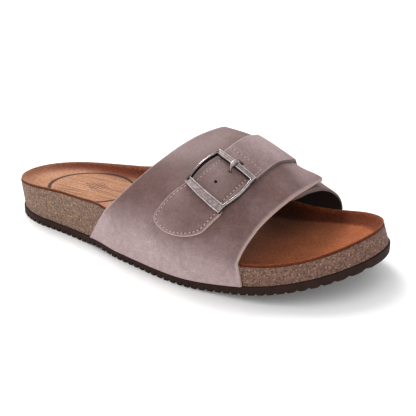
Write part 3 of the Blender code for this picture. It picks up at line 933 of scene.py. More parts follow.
def heel_print(tree, place):
    """Share of print on the insole: the oval line, fine streaks inside it and the dotted lozenge."""
    from_ring = vectors(tree, "SUBTRACT", place, placed([RING_MIDDLE])[0])
    turn = {"Vector": from_ring, "Rotation": (0.0, 0.0, math.radians(RING_TURN))}
    turned = add_node(tree, "ShaderNodeMapping", turn).outputs["Vector"]
    round_ring = vectors(tree, "MULTIPLY", turned, flat_scale(RING_HALF))
    ring_far = vectors(tree, "LENGTH", round_ring, output="Value")
    off_line = maths(tree, "ABSOLUTE", maths(tree, "SUBTRACT", ring_far, 1.0))
    half_line = RING_LINE / 2 / RING_HALF[1]
    line = remap(tree, off_line, (0.7 * half_line, 1.3 * half_line), (0.95, 0.0))
    # Fine streaks along the foot
    long_way = add_node(tree, "ShaderNodeMapping", {"Vector": place, "Scale": (0.06, 1.0, 0.2)})
    streak = noise(tree, long_way.outputs["Vector"], 2.2, 3.0)
    streak_dark = remap(tree, streak, (0.5, 0.64), (0.0, 0.5))
    inside = remap(tree, ring_far, (0.9, 0.97), (1.0, 0.0))
    streaks = maths(tree, "MULTIPLY", streak_dark, inside)
    # Dotted lozenge
    from_badge = vectors(tree, "SUBTRACT", place, placed([LOZENGE_MIDDLE])[0])
    badge = vectors(tree, "MULTIPLY", from_badge, (1.0, 1.0, 0.0))
    rows = {"Vector": badge, "Scale": per_mm(DOT_PITCH), "Randomness": 0.0}
    dots = add_node(tree, "ShaderNodeTexVoronoi", rows, voronoi_dimensions="2D").outputs["Distance"]
    radius = DOT_RADIUS / DOT_PITCH
    dot = remap(tree, dots, (0.8 * radius, 1.2 * radius), (0.75, 0.0))
    badge_size = vectors(tree, "ABSOLUTE", vectors(tree, "MULTIPLY", badge, flat_scale(LOZENGE_HALF)))
    badge_far = vectors(tree, "DOT_PRODUCT", badge_size, (1.0, 1.0, 0.0), output="Value")
    lozenge = maths(tree, "MULTIPLY", dot, maths(tree, "LESS_THAN", badge_far, 1.0))
    return maths(tree, "MAXIMUM", maths(tree, "MAXIMUM", line, lozenge), streaks)


def make_suede(colours):
    """Napped tan suede: soft and matt, clouded where the nap is brushed, with dark print on the heel, and
    painted shade toward the toe, under the upper and in the cup.
    """
    material, tree, shader, place = new_material(
        "napped_suede",
        Roughness=0.9,
        IOR=1.45,
        Specular_IOR_Level=0.15,
        Sheen_Weight=0.05,
        Sheen_Roughness=0.5,
    )
    # Brushed clouds of 14 mm, fibres drawn at 1.4 mm, coarse enough to show
    tones = ((0.3, "#996C4F"), (0.5, "#A7785A"), (0.7, "#B48569"))
    cloud = ramp(tree, noise(tree, place, 14.0, 5.0), *tones)
    tinted = blend(tree, 0.4, cloud, opaque(colours.suede))
    fibre = noise(tree, place, 1.4, 3.0)
    napped = multiply(tree, tinted, shade(tree, fibre, 0.66, 1.34))
    # Painted shade toward the toe, darker and redder, where the upper keeps light off the nap
    along = axis(tree, place, "X")
    toe = remap(tree, along, (-20 * MM, 60 * MM), (0.0, 1.0))
    plain = (1.0, 1.0, 1.0, 1.0)
    toe_shaded = multiply(tree, napped, blend(tree, toe, plain, (0.84, 0.48, 0.29, 1.0)))
    # Painted shadow under the upper
    front = remap(tree, along, (50 * MM, 84 * MM), (0.35, 1.0), "SMOOTHSTEP")
    rear = remap(tree, along, (-20 * MM, 30 * MM), (1.0, 0.35), "SMOOTHSTEP")
    upper_shadowed = multiply(tree, toe_shaded, maths(tree, "MAXIMUM", front, rear))
    # Painted shade on the cup's wall, less on its rim, and the darker cut edge of the suede
    cup_shade_tone = blend(tree, toe, (0.3, 0.125, 0.085, 1.0), (0.36, 0.27, 0.28, 1.0))
    cup_shaded = multiply(tree, upper_shadowed, blend(tree, attribute(tree, "wall"), plain, cup_shade_tone))
    printed = blend(tree, heel_print(tree, place), cup_shaded, opaque(linear(PRINT)))
    wire(tree, shader, Base_Color=printed, Normal=bump(tree, fibre, 0.35, 0.2))
    return material


def make_leather(sizes, colours):
    """Oiled nubuck: a fine pored grain, clouded where it is rubbed, with a low soft gloss, and painted light
    near the sole, on top and at its edges.
    """
    material, tree, shader, place = new_material("oiled_nubuck", IOR=1.45)
    # Rubbed clouds of 22 mm, mottling of 4 mm, speckle of 1.1 mm and pores, drawn coarse enough to show
    cloud = noise(tree, place, 22.0, 6.0)
    mottle = noise(tree, place, 4.0, 4.0)
    speckle = noise(tree, place, 1.1, 2.0)
    pores = cells(tree, place, sizes.leather_grain, "Distance", feature="SMOOTH_F1")
    # Paler near the sole, partly pull-up of the leather and partly a painted reflection of the bright floor,
    # a painted highlight over the instep, and pale rubbed edges with a painted highlight
    height = axis(tree, place, "Z")
    slope = maths(tree, "MULTIPLY_ADD", axis(tree, place, "X"), 0.07, height)
    # Painted reflection of the floor, with pull-up, toward the sole
    low = remap(tree, slope, (10 * MM, 48 * MM), (1.0, 0.0), "SMOOTHSTEP")
    # Painted highlight on the top of the upper
    high = remap(tree, height, (62 * MM, 77 * MM), (0.0, 0.22), "SMOOTHSTEP")
    pull_up_and_painted_light = maths(tree, "ADD", low, high)
    edged = maths(tree, "MULTIPLY_ADD", attribute(tree, "wear"), 0.8, shade(tree, cloud, -0.15, 0.19))
    wear_and_painted_light = maths(tree, "ADD", pull_up_and_painted_light, edged, use_clamp=True)
    base = blend(tree, wear_and_painted_light, opaque(colours.leather), opaque(colours.leather_light))
    flecks = maths(tree, "MULTIPLY", shade(tree, mottle, 0.86, 1.12), shade(tree, speckle, 0.84, 1.16))
    wire(
        tree,
        shader,
        Base_Color=multiply(tree, base, flecks),
        Roughness=shade(tree, mottle, 0.55, 0.7),
        Normal=bump(tree, pores, 0.18, 0.2),
    )
    return material


def make_plain(name, colour, roughness, grit):
    """Fibrous surface of one colour with fine lighter and darker fibres."""
    material, tree, shader, place = new_material(name, Roughness=roughness, IOR=1.45)
    fibre = noise(tree, place, grit, 3.0)
    toned = multiply(tree, opaque(colour), shade(tree, fibre, 0.8, 1.15))
    wire(tree, shader, Base_Color=toned, Normal=bump(tree, fibre, 0.3, 0.15))
    return material


def make_silver():
    """Antique silver plate on cast zinc: bright where its edges are rubbed, dark patina in the hollows, and
    painted shade low on the heel side's inner wall.
    """
    material, tree, shader, place = new_material("antique_silver_plate", Metallic=1.0)
    # Blotches of 1.6 mm break the patina up
    blotch = noise(tree, place, 1.6, 5.0)
    dark = maths(tree, "MULTIPLY_ADD", blotch, 0.7, attribute(tree, "patina"))
    share = remap(tree, dark, (0.25, 1.2), (0.0, 1.0))
    tone = ramp(tree, share, (0.0, "#D2CBCA"), (0.45, "#8E7F7D"), (1.0, "#2E2625"))
    rough = remap(tree, share, (0.0, 1.0), (0.28, 0.55))
    wire(tree, shader, Base_Color=tone, Roughness=rough, Normal=bump(tree, blotch, 0.2, 0.2))
    return material


def material_of(name, maker, *args):
    """Material by name, made on first use."""
    return bpy.data.materials.get(name) or maker(*args)


def plain_of(name, colour, roughness, grit):
    """Fibrous material by name, made on first use."""
    return material_of(name, make_plain, name, colour, roughness, grit)


def leather_set(scene, shaded_edge=False):
    """Materials of a leather sheet: grain side, flesh side near black with painted shade, and a pale raw cut
    edge with painted light, or a cut edge darkened as painted shade.
    """
    sizes, colours = scene.sandal_sizes, scene.sandal_colours
    grain = material_of("oiled_nubuck", make_leather, sizes, colours)
    # Near black flesh side: dark lining and painted shade
    flesh = plain_of("dark_lining", colours.lining, 0.9, 1.0)
    if shaded_edge:
        return grain, flesh, plain_of("burnished_edge", colours.dark_edge, 0.6, 0.5)
    return grain, flesh, plain_of("raw_leather_edge", colours.raw_edge, 0.75, 0.5)


class SANDAL_OT_outsole(bpy.types.Operator):
    """Build the rubber outsole with its cross ribs"""

    bl_idname = "sandal.outsole"
    bl_label = "Outsole"

    def execute(self, context):
        steps = int(LENGTH / RIB_PITCH * RIB_STEPS)
        ends = (0.03, 0.1, 0.22, 0.38)
        stations = [HEEL_X + d for d in ends] + [TOE_X - d for d in ends]
        stations += [HEEL_X + LENGTH * i / steps for i in range(2, steps - 1)]
        sections = []
        for x in sorted(stations):
            phase = ((x - HEEL_X) / RIB_PITCH) % 1.0
            depth = RIB_DEPTH * (1 - RIB_FADE * soft(x, RIB_FADE_SPAN))
            groove = depth * soft(phase, GROOVE_OPEN) * (1 - soft(phase, GROOVE_CLOSE))
            low = ground(x) + groove
            high = ground(x) + OUTSOLE_THICK
            half = half_width(x)
            thin = min(1.0, half / 4.0)
            side = [
                (half - 0.6 * thin, high),
                (half - 0.15 * thin, high - 0.15),
                (half, high - 0.6),
                (half, mix(high, low, 0.5)),
                (half, low + 0.7),
                (half - 0.2 * thin, low + 0.2),
                (half - 0.7 * thin, low),
            ]
            across = [mix(side[-1][0], -side[-1][0], i / 10) for i in range(1, 10)]
            loop = [(x, centre(x) - y, z) for y, z in side]
            loop += [(x, centre(x) - y, low) for y in across]
            loop += [(x, centre(x) + y, z) for y, z in reversed(side)]
            loop += [(x, centre(x) + mix(side[0][0], -side[0][0], i / 6), high) for i in range(1, 6)]
            sections.append(loop)
        rubber = material_of("moulded_rubber", make_rubber, context.scene.sandal_colours)
        piece = tube_solid("outsole_rubber", sections, [rubber], 50)
        finish_piece(piece, "rubber", "outsole")
        return {"FINISHED"}


class SANDAL_OT_footbed(bpy.types.Operator):
    """Build the pressed cork footbed"""

    bl_idname = "sandal.footbed"
    bl_label = "Cork footbed"

    def execute(self, context):
        drop = INSOLE_THICK + BED_GAP

        def side_ring(share, inset):
            return sole_ring(
                lambda x: side_lean(x, share) - inset,
                1.0,
                lambda x, side: mix(cork_base(x) - GAP, rim_height(x, side) - drop, share),
            )

        rings = [side_ring(0.0, 1.5), side_ring(0.0, 0.15), side_ring(0.012, 0.0)]
        rings += [side_ring(i / 10, 0.0) for i in range(1, 10)]
        rings += [side_ring(0.985, 0.0), side_ring(1.0, 0.25)]
        for scale in BED_RINGS[1:]:
            rings.append(sole_ring(rim_lean, scale, lambda x, side, k=scale: bed_height(x, side, k) - drop))
        cork = material_of("pressed_cork", make_cork, context.scene.sandal_sizes)
        piece = ring_solid("cork_footbed", rings, [cork], 50)
        finish_piece(piece, "cork", "midsole")
        return {"FINISHED"}


def cup_shade(x, hand, scale):
    """Painted shade in the cup: nothing on its floor, most on the medial wall, and less at the rim."""
    up = wall_share(x, scale)
    side = 0.6 + 0.4 * hand * half_width(x) / plan_half(x)
    tone = mix(soft(scale, HEEL_SHADE), soft(up, TOE_SHADE), soft(x, HEEL_TO_TOE))
    return side * tone * (1 - 0.5 * soft(up, RIM_FADE))


class SANDAL_OT_insole(bpy.types.Operator):
    """Build the suede insole over the cupped footbed"""

    bl_idname = "sandal.insole"
    bl_label = "Suede insole"

    def execute(self, context):
        def ring(scale, inset, fall):
            return sole_ring(
                lambda x: rim_lean(x) - INSOLE_EDGE - inset,
                scale,
                lambda x, side: bed_height(x, side, scale) - fall,
            )

        rings = [ring(scale, 0.0, 0.0) for scale in reversed(BED_RINGS)]
        rings += [ring(1.0, 0.2, 0.02), ring(1.0, 0.04, 0.16), ring(1.0, 0.0, 0.4)]
        rings += [ring(1.0, 0.0, INSOLE_THICK - 0.3), ring(1.0, 0.1, INSOLE_THICK)]
        rings += [ring(scale, 0.0, INSOLE_THICK) for scale in BED_RINGS[1:]]
        suede = material_of("napped_suede", make_suede, context.scene.sandal_colours)
        piece = ring_solid("suede_insole", rings, [suede], 60)
        walk = ring_walk()
        # The wall share holds painted shade in the cup, then the rim and the dark cut edge
        shares = [cup_shade(x, hand, scale) for scale in reversed(BED_RINGS) for x, hand in walk]
        for share in (0.1, 0.5, 1.0):
            shares += [share] * len(walk)
        mark(piece, "wall", shares + [1.0] * (len(piece.data.vertices) - len(shares)))
        finish_piece(piece, "suede", "insole")
        return {"FINISHED"}


def shoulder_pale(x, t):
    """How much paler the lateral panel is at its medial corner."""
    return CORNER_PALE * soft(t, PALE_T) * soft(x, PALE_X)


def panel(name, start, end, low, set_back, pale, rubbed, materials):
    """Leather panel of the upper from its sole line, at t = start, to its free end.

    Pale tells how much paler the panel is at a station and t, and rubbed how pale its edges are from wear and
    painted highlight.
    """
    span = abs(end - start) * ARC_PER_T
    heading = math.copysign(1.0, end - start)
    grid = []
    for along in spread(span, PANEL_ROWS):
        t = start + heading * along / ARC_PER_T
        back = edge_station(BACK_LATERAL, BACK_MEDIAL, t) - back_bulge(t)
        front = edge_station(FRONT_LATERAL, FRONT_MEDIAL, t) - set_back(t)
        row = []
        for d in spread(front - back, PANEL_COLUMNS):
            x = back + d
            edge = min(d, front - back - d, span - along)
            roll = fall_away(edge, EDGE_ROUND)
            base = low(x, t) + crease_lift(x, t)
            top = section_point(x, t, base + LEATHER - roll)
            under = section_point(x, t, base + 0.5 * roll)
            row.append(Spot(top, under, max(pale(x, t), rubbed * rub(edge))))
        grid.append(row)
    return sheet_solid(name, grid, materials)


class SANDAL_OT_upper(bpy.types.Operator):
    """Build the lateral and medial leather panels of the upper"""

    bl_idname = "sandal.upper"
    bl_label = "Leather upper"

    def execute(self, context):
        lateral = panel(
            "lateral_panel",
            0.0,
            LATERAL_END,
            lateral_lift,
            lateral_step,
            shoulder_pale,
            1.0,
            leather_set(context.scene),
        )
        medial = panel(
            "medial_panel",
            1.0,
            MEDIAL_END,
            lambda x, t: 0.0,
            medial_step,
            lambda x, t: MEDIAL_PALE,
            MEDIAL_RUB,
            leather_set(context.scene, True),
        )
        for piece in (lateral, medial):
            finish_piece(piece, "leather", "upper")
        return {"FINISHED"}


class SANDAL_OT_strap(bpy.types.Operator):
    """Build the strap from the medial side to the buckle"""

    bl_idname = "sandal.strap"
    bl_label = "Buckle strap"

    def execute(self, context):
        materials = leather_set(context.scene, True)
        start = -FRAME_TOP_BAR / 2 + 1.0
        length = start - strap_reach(STRAP_END_T)
        grid = []
        for far in spread(length, 70):
            share = far / length
            reach = start - far
            half = mix(STRAP_HALF, STRAP_FOOT_HALF, soft(share, (0.3, 1.0)))
            thick = mix(LEATHER, STRAP_SKIVE, soft(share, (0.75, 1.0)))
            seam = 0.25 * dent(reach - STITCH_REACH, 0.8)
            row = []
            for d in spread(2 * half, 14):
                x, t = strap_spot(reach, d - half)
                edge = min(d, 2 * half - d)
                roll = fall_away(edge, EDGE_ROUND)
                # Painted highlight along the strap's top, on its paler base tone, and pale rubbed edges
                wear = max(STRAP_PALE + STRAP_TOP_HIGHLIGHT * soft(t, STRAP_HIGHLIGHT_T), rub(edge))
                low = strap_low(t) + crease_lift(x, t) * ease((LATERAL_END - t) / 0.05)
                top = section_point(x, t, low + thick - roll - seam)
                row.append(Spot(top, section_point(x, t, low + 0.4 * roll), wear))
            grid.append(row)
        piece = sheet_solid("strap_leather", grid, materials)
        corners = ((-SLOT_HALF, -1.0), (SLOT_HALF, -1.0), (SLOT_HALF, 3.0), (-SLOT_HALF, 3.0))
        sections = []
        for reach in (start - SLOT_DEPTH, start + 1.0):
            sections.append([strap_point(reach, across, STRAP_LOW + lift) for across, lift in corners])
        cut(piece, [tube_solid("strap_slot", sections, materials)])
        finish_piece(piece, "leather", "buckle_strap")
        return {"FINISHED"}


def tab_end(side):
    """Reach of the tab's round tip, which runs further at the heel side (-1) than at the toe side (1)."""
    short = TAB_ROUND * (1 - math.sqrt(max(0.0, 1 - side * side)))
    return TAB_TIP - TAB_SKEW * TAB_HALF * side - short


def tab_across(reach, side):
    """Place across the tab from its heel edge (-1) to its toe edge (1).

    The tab is narrow in the buckle and flares at the heel side below it.
    """
    neck_end = FRAME_LENGTH - FRAME_TOP_BAR / 2 - FRAME_LOW_BAR
    half = mix(TAB_NECK_HALF, TAB_HALF, ease((reach - neck_end + 3.0) / (FRAME_LOW_BAR + 2.0)))
    flare = TAB_FLARE * ease((reach - neck_end) / 24.0) * (1 - side) / 2
    return side * half - flare


def tab_outline():
    """Cut edge of the tab from under the bar down its toe side, round the tip and up its heel side."""
    toe_side = [mix(TAB_START, tab_end(1.0), i / 40) for i in range(40)]
    heel_side = [mix(tab_end(-1.0), TAB_START, i / 48) for i in range(1, 49)]
    tip = [math.cos(math.pi * i / 80) for i in range(81)]
    walk = [(reach, tab_across(reach, 1.0)) for reach in toe_side]
    walk += [(tab_end(side), tab_across(tab_end(side), side)) for side in tip]
    return walk + [(reach, tab_across(reach, -1.0)) for reach in heel_side]


def edge_distance(outline, spot):
    """Distance of a spot from a line of points."""
    best = 1e9
    for (x0, y0), (x1, y1) in zip(outline, outline[1:]):
        run, rise = x1 - x0, y1 - y0
        share = ((spot[0] - x0) * run + (spot[1] - y0) * rise) / (run * run + rise * rise)
        share = min(1.0, max(0.0, share))
        best = min(best, math.hypot(spot[0] - x0 - share * run, spot[1] - y0 - share * rise))
    return best


class SANDAL_OT_tab(bpy.types.Operator):
    """Build the round-tipped tab that the buckle closes on"""

    bl_idname = "sandal.tab"
    bl_label = "Buckle tab"

    def execute(self, context):
        outline = tab_outline()
        sides = [d / TAB_HALF - 1 for d in spread(2 * TAB_HALF, 20)]
        grid = []
        for i in range(TAB_ROWS + len(EDGE_STEPS)):
            row = []
            for side in sides:
                reach = tab_end(side) - EDGE_STEPS[min(-1, TAB_ROWS - 1 - i)]
                if i < TAB_ROWS:
                    reach = mix(TAB_START, reach, i / TAB_ROWS)
                across = tab_across(reach, side)
                edge = edge_distance(outline, (reach, across))
                roll = fall_away(edge, EDGE_ROUND)
                seam = 0.22 * dent(edge - STITCH_INSET, 0.7)
                low = tab_lift(reach, across)
                top = strap_point(reach, across, low + LEATHER - roll - seam)
                under = strap_point(reach, across, low + 0.3 * roll)
                row.append(Spot(top, under, TAB_PALE + TAB_RUB * rub(edge)))
            grid.append(row)
        piece = sheet_solid("tab_leather", grid, leather_set(context.scene), 3)
        circle = [math.tau * k / 20 for k in range(20)]
        punches = []
        for number, (reach, across) in enumerate(HOLES):
            rim = [(reach + HOLE_RADIUS * math.cos(w), across + HOLE_RADIUS * math.sin(w)) for w in circle]
            loops = [[strap_point(*spot, lift) for spot in rim] for lift in (STRAP_LOW - 1, STRAP_HIGH + 1)]
            dark = bpy.data.materials["dark_lining"]
            punches.append(tube_solid("tab_hole_" + str(number), loops, [dark]))
        cut(piece, punches)
        finish_piece(piece, "leather", "strap_tab")
        return {"FINISHED"}


def frame_outline(inner):
    """Loop of the buckle's outside or of its window, as distances along and across the strap."""
    first = -FRAME_TOP_BAR / 2
    last = first + FRAME_LENGTH
    half = FRAME_HALF
    if inner:
        first += FRAME_TOP_BAR
        last -= FRAME_LOW_BAR
        half -= FRAME_SIDE
    window_start = FRAME_TOP_BAR / 2
    window_run = FRAME_LENGTH - FRAME_TOP_BAR - FRAME_LOW_BAR
    side, bar = 40, 16

    def stand(reach):
        share = min(1.0, max(0.0, (reach - window_start) / window_run))
        return half + FRAME_BOW * math.sin(math.pi * share)

    walk = [mix(first, last, i / side) for i in range(side + 1)]
    down = [(reach, stand(reach)) for reach in walk[:-1]]
    low = [(last, mix(half, -half, i / bar)) for i in range(bar)]
    up = [(reach, -stand(reach)) for reach in walk[:0:-1]]
    top = [(first, mix(-half, half, i / bar)) for i in range(bar)]
    walk = down + low + up + top
    return [(reach - FRAME_TWIST * across * reach / FRAME_LENGTH, across) for reach, across in walk]


class SANDAL_OT_buckle(bpy.types.Operator):
    """Build the buckle's frame and its prong"""

    bl_idname = "sandal.buckle"
    bl_label = "Buckle"

    def execute(self, context):
        silver = material_of("antique_silver_plate", make_silver)
        outside, window = frame_outline(False), frame_outline(True)
        rings, patina = [], []
        walk = [(row, False) for row in BAR_PROFILE] + [(row, True) for row in reversed(BAR_PROFILE)]
        for row, inner in walk:
            ring = []
            for out, hole in zip(outside, window):
                share = min(row.inset / math.dist(out, hole), 0.49)
                if inner:
                    share = 1 - share
                reach, across = mix(out[0], hole[0], share), mix(out[1], hole[1], share)
                base = tab_lift(reach, across) + LEATHER + GAP
                ring.append(strap_point(reach, across, base + row.lift))
            rings.append(ring)
            for reach, across in outside:
                # Painted shade: the heel side's inner wall low down is darker than any patina
                heel_side_shade = inner and across < 0.1 - FRAME_HALF and row.lift < 2.0
                patina.append(1.5 if heel_side_shade else row.patina)
        points, loops = numbered(rings)
        faces = loop_faces(loops, closed=True)
        piece = solid("buckle_frame_metal", points, faces, [0] * len(faces), [silver], 50)
        mark(piece, "patina", patina)
        finish_piece(piece, "metal", "buckle_frame")
        prong = self.prong(silver)
        mark(prong, "patina", [0.25] * len(prong.data.vertices))
        finish_piece(prong, "metal", "buckle_prong")
        return {"FINISHED"}

    @staticmethod
    def prong(silver):
        """Prong bent round the top bar, with its pin in the tab's upper hole."""
        clear = GAP + PRONG_THICK / 2
        low = FRAME_LOW - clear
        high = FRAME_HIGH + clear
        back = -FRAME_TOP_BAR / 2 - clear
        front = FRAME_TOP_BAR / 2 + clear
        hole = HOLES[0][0]
        path = [
            (0.2, low, PRONG_HALF),
            (back, low, PRONG_HALF),
            (back, high, PRONG_HALF),
            (front, high, PRONG_HALF),
            (mix(front, hole, 0.45), mix(high, STRAP_HIGH, 0.25), PIN_HALF),
            (hole - 0.3, mix(STRAP_HIGH, high, 0.15), PIN_HALF),
            (hole, STRAP_LOW + 0.6, PIN_HALF),
        ]
        # Each round cuts the corners of the path
        for turn in range(3):
            cutting = [path[0]]
            for near, far in zip(path, path[1:]):
                for share in (0.25, 0.75):
                    cutting.append(tuple(mix(a, b, share) for a, b in zip(near, far)))
            path = cutting + [path[-1]]
        sections = []
        for i, (reach, lift, half) in enumerate(path):
            before, after = path[max(0, i - 1)], path[min(len(path) - 1, i + 1)]
            heading = math.atan2(after[1] - before[1], after[0] - before[0])
            loop = []
            for k in range(14):
                w = math.tau * k / 14
                side = math.copysign(abs(math.cos(w)) ** 0.45, math.cos(w)) * half
                up = math.copysign(abs(math.sin(w)) ** 0.45, math.sin(w)) * PRONG_THICK / 2
                loop.append(strap_point(reach - math.sin(heading) * up, side, lift + math.cos(heading) * up))
            sections.append(loop)
        return tube_solid("buckle_prong_metal", sections, [silver], 60)


def stitch_tree():
    """Node tree that lays long beads along a path: stitches of thread, or needle holes."""
    tree = bpy.data.node_groups.new("stitch_row", "GeometryNodeTree")
    sockets = tree.interface
    sockets.new_socket("Path", in_out="INPUT", socket_type="NodeSocketGeometry")
    for name in ("Pitch", "Bead Length", "Bead Radius"):
        sockets.new_socket(name, in_out="INPUT", socket_type="NodeSocketFloat")
    sockets.new_socket("Material", in_out="INPUT", socket_type="NodeSocketMaterial")
    sockets.new_socket("Stitches", in_out="OUTPUT", socket_type="NodeSocketGeometry")
    given = add_node(tree, "NodeGroupInput").outputs
    path = add_node(tree, "GeometryNodeMeshToCurve", {"Mesh": given["Path"]}).outputs["Curve"]
    steps = {"Curve": path, "Length": given["Pitch"]}
    spots = add_node(tree, "GeometryNodeCurveToPoints", steps, mode="LENGTH").outputs
    heading = {"Vector": spots["Tangent"]}
    turned = add_node(tree, "FunctionNodeAlignRotationToVector", heading, axis="Z")
    bead = add_node(tree, "GeometryNodeMeshUVSphere", {"Segments": 8, "Rings": 6, "Radius": 1.0})
    half = maths(tree, "MULTIPLY", given["Bead Length"], 0.5)
    sizes = {"X": given["Bead Radius"], "Y": given["Bead Radius"], "Z": half}
    size = add_node(tree, "ShaderNodeCombineXYZ", sizes)
    beads = {
        "Points": spots["Points"],
        "Instance": bead.outputs["Mesh"],
        "Rotation": turned.outputs["Rotation"],
        "Scale": size.outputs["Vector"],
    }
    laid = add_node(tree, "GeometryNodeInstanceOnPoints", beads).outputs["Instances"]
    real = add_node(tree, "GeometryNodeRealizeInstances", {"Geometry": laid}).outputs["Geometry"]
    smooth = add_node(tree, "GeometryNodeSetShadeSmooth", {"Geometry": real}).outputs["Geometry"]
    look = {"Geometry": smooth, "Material": given["Material"]}
    dressed = add_node(tree, "GeometryNodeSetMaterial", look).outputs["Geometry"]
    add_node(tree, "NodeGroupOutput", {"Stitches": dressed})
    return tree


def lay_stitches(name, lines, tree, values):
    """Piece with a bead at every pitch along each line of points in millimetres."""
    points, runs = numbered(lines)
    edges = [pair for run in runs for pair in zip(run, run[1:])]
    mesh = bpy.data.meshes.new(name)
    mesh.from_pydata(placed(points), edges, [])
    piece = bpy.data.objects.new(name, mesh)
    bpy.context.scene.collection.objects.link(piece)
    row = piece.modifiers.new("stitch_row", "NODES")
    row.node_group = tree
    for socket in tree.interface.items_tree:
        if socket.in_out == "INPUT" and socket.name in values:
            row[socket.identifier] = values[socket.name]
    settle(piece)
    return piece


def trim_line(points, length):
    """Line of points without its first length."""
    left = length
    for i, (near, far) in enumerate(zip(points, points[1:])):
        step = math.dist(near, far)
        if step >= left:
            share = left / step
            return [tuple(mix(a, b, share) for a, b in zip(near, far))] + points[i + 1 :]
        left -= step
    return points[-2:]


def strap_seam():
    """Line of the stitches across the strap and along its toe edge to the buckle."""
    near, far = STITCH_ACROSS
    line = [(STITCH_REACH, mix(near, far, i / 40)) for i in range(41)]
    line += [(mix(STITCH_REACH, STITCH_END, i / 8), far) for i in range(1, 9)]
    points = []
    for reach, across in line:
        x, t = strap_spot(reach, across)
        points.append(section_point(x, t, strap_low(t) + crease_lift(x, t) + LEATHER - THREAD_SINK))
    return points


def tab_seam():
    """Line of the stitches inside the tab's edge."""
    outline = tab_outline()
    points = []
    for before, spot, after in zip(outline, outline[1:], outline[2:]):
        run, rise = after[0] - before[0], after[1] - before[1]
        size = math.hypot(run, rise) / STITCH_INSET
        reach, across = spot[0] + rise / size, spot[1] - run / size
        if reach > TAB_STITCH_START:
            points.append(strap_point(reach, across, tab_lift(reach, across) + LEATHER - THREAD_SINK))
    return points


class SANDAL_OT_stitching(bpy.types.Operator):
    """Sew the stitches on the strap and round the tab"""

    bl_idname = "sandal.stitching"
    bl_label = "Stitching"

    def execute(self, context):
        sizes, colours = context.scene.sandal_sizes, context.scene.sandal_colours
        tree = stitch_tree()
        bead = {
            "Pitch": sizes.stitch_pitch * MM,
            "Bead Length": sizes.stitch_length * MM,
            "Bead Radius": sizes.thread_radius * MM,
            "Material": plain_of("waxed_thread", colours.thread, 0.6, 0.3),
        }
        # Dark beads between the stitches: painted shade of the needle holes
        prick = {
            "Pitch": sizes.stitch_pitch * MM,
            "Bead Length": NEEDLE_HOLE[0] * MM,
            "Bead Radius": NEEDLE_HOLE[1] * MM,
            "Material": plain_of("needle_hole", linear("#2B1F1C"), 0.9, 0.5),
        }
        rows = [strap_seam(), tab_seam()]
        pricks = [trim_line(row, sizes.stitch_pitch / 2) for row in rows]
        finish_piece(lay_stitches("strap_thread", rows, tree, bead), "leather")
        finish_piece(lay_stitches("needle_holes", pricks, tree, prick), "leather")
        return {"FINISHED"}


# Camera: the point it looks at on the sole's frame, turn about the sandal, height angle, distance and lens
CAMERA_AIM = (13.0, 7.5, 22.6)
CAMERA_TURN = 33.43
CAMERA_RISE = 21.31
CAMERA_FAR = 600.0
CAMERA_LENS = 80.65
CAMERA_SENSOR = 36.0

# White studio: an even sky, with more light from the heel side than from the toe side
STUDIO_HORIZON = 1.08
STUDIO_ZENITH = 0.98
STUDIO_RISE = (0.1, 0.85)
BRIGHT_SIDE = (-0.8, -0.55, 0.0)
SIDE_LOW = 0.75
SIDE_HIGH = 1.2
SIDE_SPAN = (-0.8, 0.8)

# Soft light: place and aim in metres, side of its square in metres and power in watts
KEY_PLACE = (-0.6, 0.36, 1.0)
KEY_AIM = (0.0, 0.0, 0.03)
KEY_SIDE = 0.6
KEY_POWER = 10.0

# Floor: half its width in metres, its white and its faint glow
FLOOR_HALF = 3.0
FLOOR_WHITE = (0.95, 0.95, 0.95, 1.0)
FLOOR_GLOW = 0.06


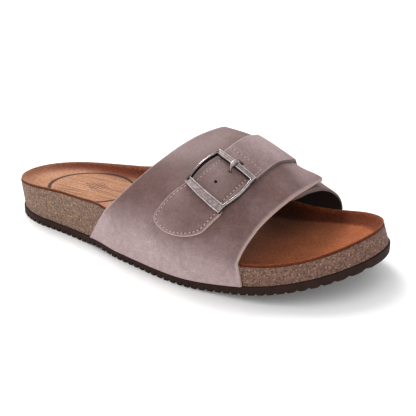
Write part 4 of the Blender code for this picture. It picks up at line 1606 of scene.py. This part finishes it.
class SANDAL_OT_stage(bpy.types.Operator):
    """Set the floor, the studio's sky, the soft light and the camera"""

    bl_idname = "sandal.stage"
    bl_label = "Stage"

    def execute(self, context):
        scene = context.scene
        mesh = bpy.data.meshes.new("floor")
        wide = FLOOR_HALF
        corners = [(-wide, -wide, 0), (wide, -wide, 0), (wide, wide, 0), (-wide, wide, 0)]
        mesh.from_pydata(corners, [], [(0, 1, 2, 3)])
        floor = bpy.data.objects.new("floor", mesh)
        scene.collection.objects.link(floor)
        material = new_material(
            "pale_floor",
            Roughness=0.9,
            Base_Color=FLOOR_WHITE,
            Emission_Color=(1.0, 1.0, 1.0, 1.0),
            Emission_Strength=FLOOR_GLOW,
        )[0]
        mesh.materials.append(material)
        self.light(scene)
        turn, rise = math.radians(CAMERA_TURN), math.radians(CAMERA_RISE)
        back = Vector((math.sin(turn) * math.cos(rise), -math.cos(turn) * math.cos(rise), math.sin(rise)))
        data = bpy.data.cameras.new("photo_camera")
        data.lens = CAMERA_LENS
        data.sensor_width = CAMERA_SENSOR
        data.dof.use_dof = False
        data.clip_start = 0.01
        camera = bpy.data.objects.new("photo_camera", data)
        camera.location = Vector(placed([CAMERA_AIM])[0]) + back * CAMERA_FAR * MM
        camera.rotation_euler = (-back).to_track_quat("-Z", "Y").to_euler()
        scene.collection.objects.link(camera)
        scene.camera = camera
        scene.view_settings.view_transform = "Standard"
        return {"FINISHED"}

    @staticmethod
    def light(scene):
        """White sky that is brighter on one side, and one soft square light."""
        world = bpy.data.worlds.new("soft_studio")
        world.use_nodes = True
        sky = world.node_tree
        around = add_node(sky, "ShaderNodeTexCoord").outputs["Generated"]
        height = axis(sky, around, "Z")
        level = remap(sky, height, STUDIO_RISE, (STUDIO_HORIZON, STUDIO_ZENITH), "SMOOTHSTEP")
        toward = vectors(sky, "DOT_PRODUCT", around, BRIGHT_SIDE, output="Value")
        side = remap(sky, toward, SIDE_SPAN, (SIDE_LOW, SIDE_HIGH))
        backdrop = sky.nodes["Background"]
        backdrop.inputs["Color"].default_value = (1.0, 1.0, 1.0, 1.0)
        sky.links.new(maths(sky, "MULTIPLY", level, side), backdrop.inputs["Strength"])
        scene.world = world
        lamp = bpy.data.lights.new("key_from_behind", "AREA")
        lamp.size = KEY_SIDE
        lamp.energy = KEY_POWER
        holder = bpy.data.objects.new("key_from_behind", lamp)
        holder.location = KEY_PLACE
        aim = Vector(KEY_AIM) - Vector(KEY_PLACE)
        holder.rotation_euler = aim.to_track_quat("-Z", "Y").to_euler()
        scene.collection.objects.link(holder)


OPERATORS = (
    SANDAL_OT_outsole,
    SANDAL_OT_footbed,
    SANDAL_OT_insole,
    SANDAL_OT_upper,
    SANDAL_OT_strap,
    SANDAL_OT_tab,
    SANDAL_OT_buckle,
    SANDAL_OT_stitching,
    SANDAL_OT_stage,
)


class SANDAL_PT_builder(bpy.types.Panel):
    """Sizes, colours and steps of the sandal"""

    bl_label = "Slide Sandal"
    bl_idname = "SANDAL_PT_builder"
    bl_space_type = "VIEW_3D"
    bl_region_type = "UI"
    bl_category = "Sandal"

    def draw(self, context):
        for group in (context.scene.sandal_sizes, context.scene.sandal_colours):
            column = self.layout.column()
            for name in group.__annotations__:
                column.prop(group, name)
        for operator in OPERATORS:
            self.layout.operator(operator.bl_idname)


CLASSES = (SandalSizes, SandalColours, *OPERATORS, SANDAL_PT_builder)


def register():
    """Add the sandal's classes and settings to Blender."""
    for kind in CLASSES:
        bpy.utils.register_class(kind)
    bpy.types.Scene.sandal_sizes = bpy.props.PointerProperty(type=SandalSizes)
    bpy.types.Scene.sandal_colours = bpy.props.PointerProperty(type=SandalColours)


def unregister():
    """Take the sandal's classes and settings out again."""
    del bpy.types.Scene.sandal_colours
    del bpy.types.Scene.sandal_sizes
    for kind in reversed(CLASSES):
        bpy.utils.unregister_class(kind)


def main():
    """Build every piece in order."""
    register()
    bpy.ops.sandal.outsole()
    bpy.ops.sandal.footbed()
    bpy.ops.sandal.insole()
    bpy.ops.sandal.upper()
    bpy.ops.sandal.strap()
    bpy.ops.sandal.tab()
    bpy.ops.sandal.buckle()
    bpy.ops.sandal.stitching()
    bpy.ops.sandal.stage()


if __name__ == "__main__":
    main()
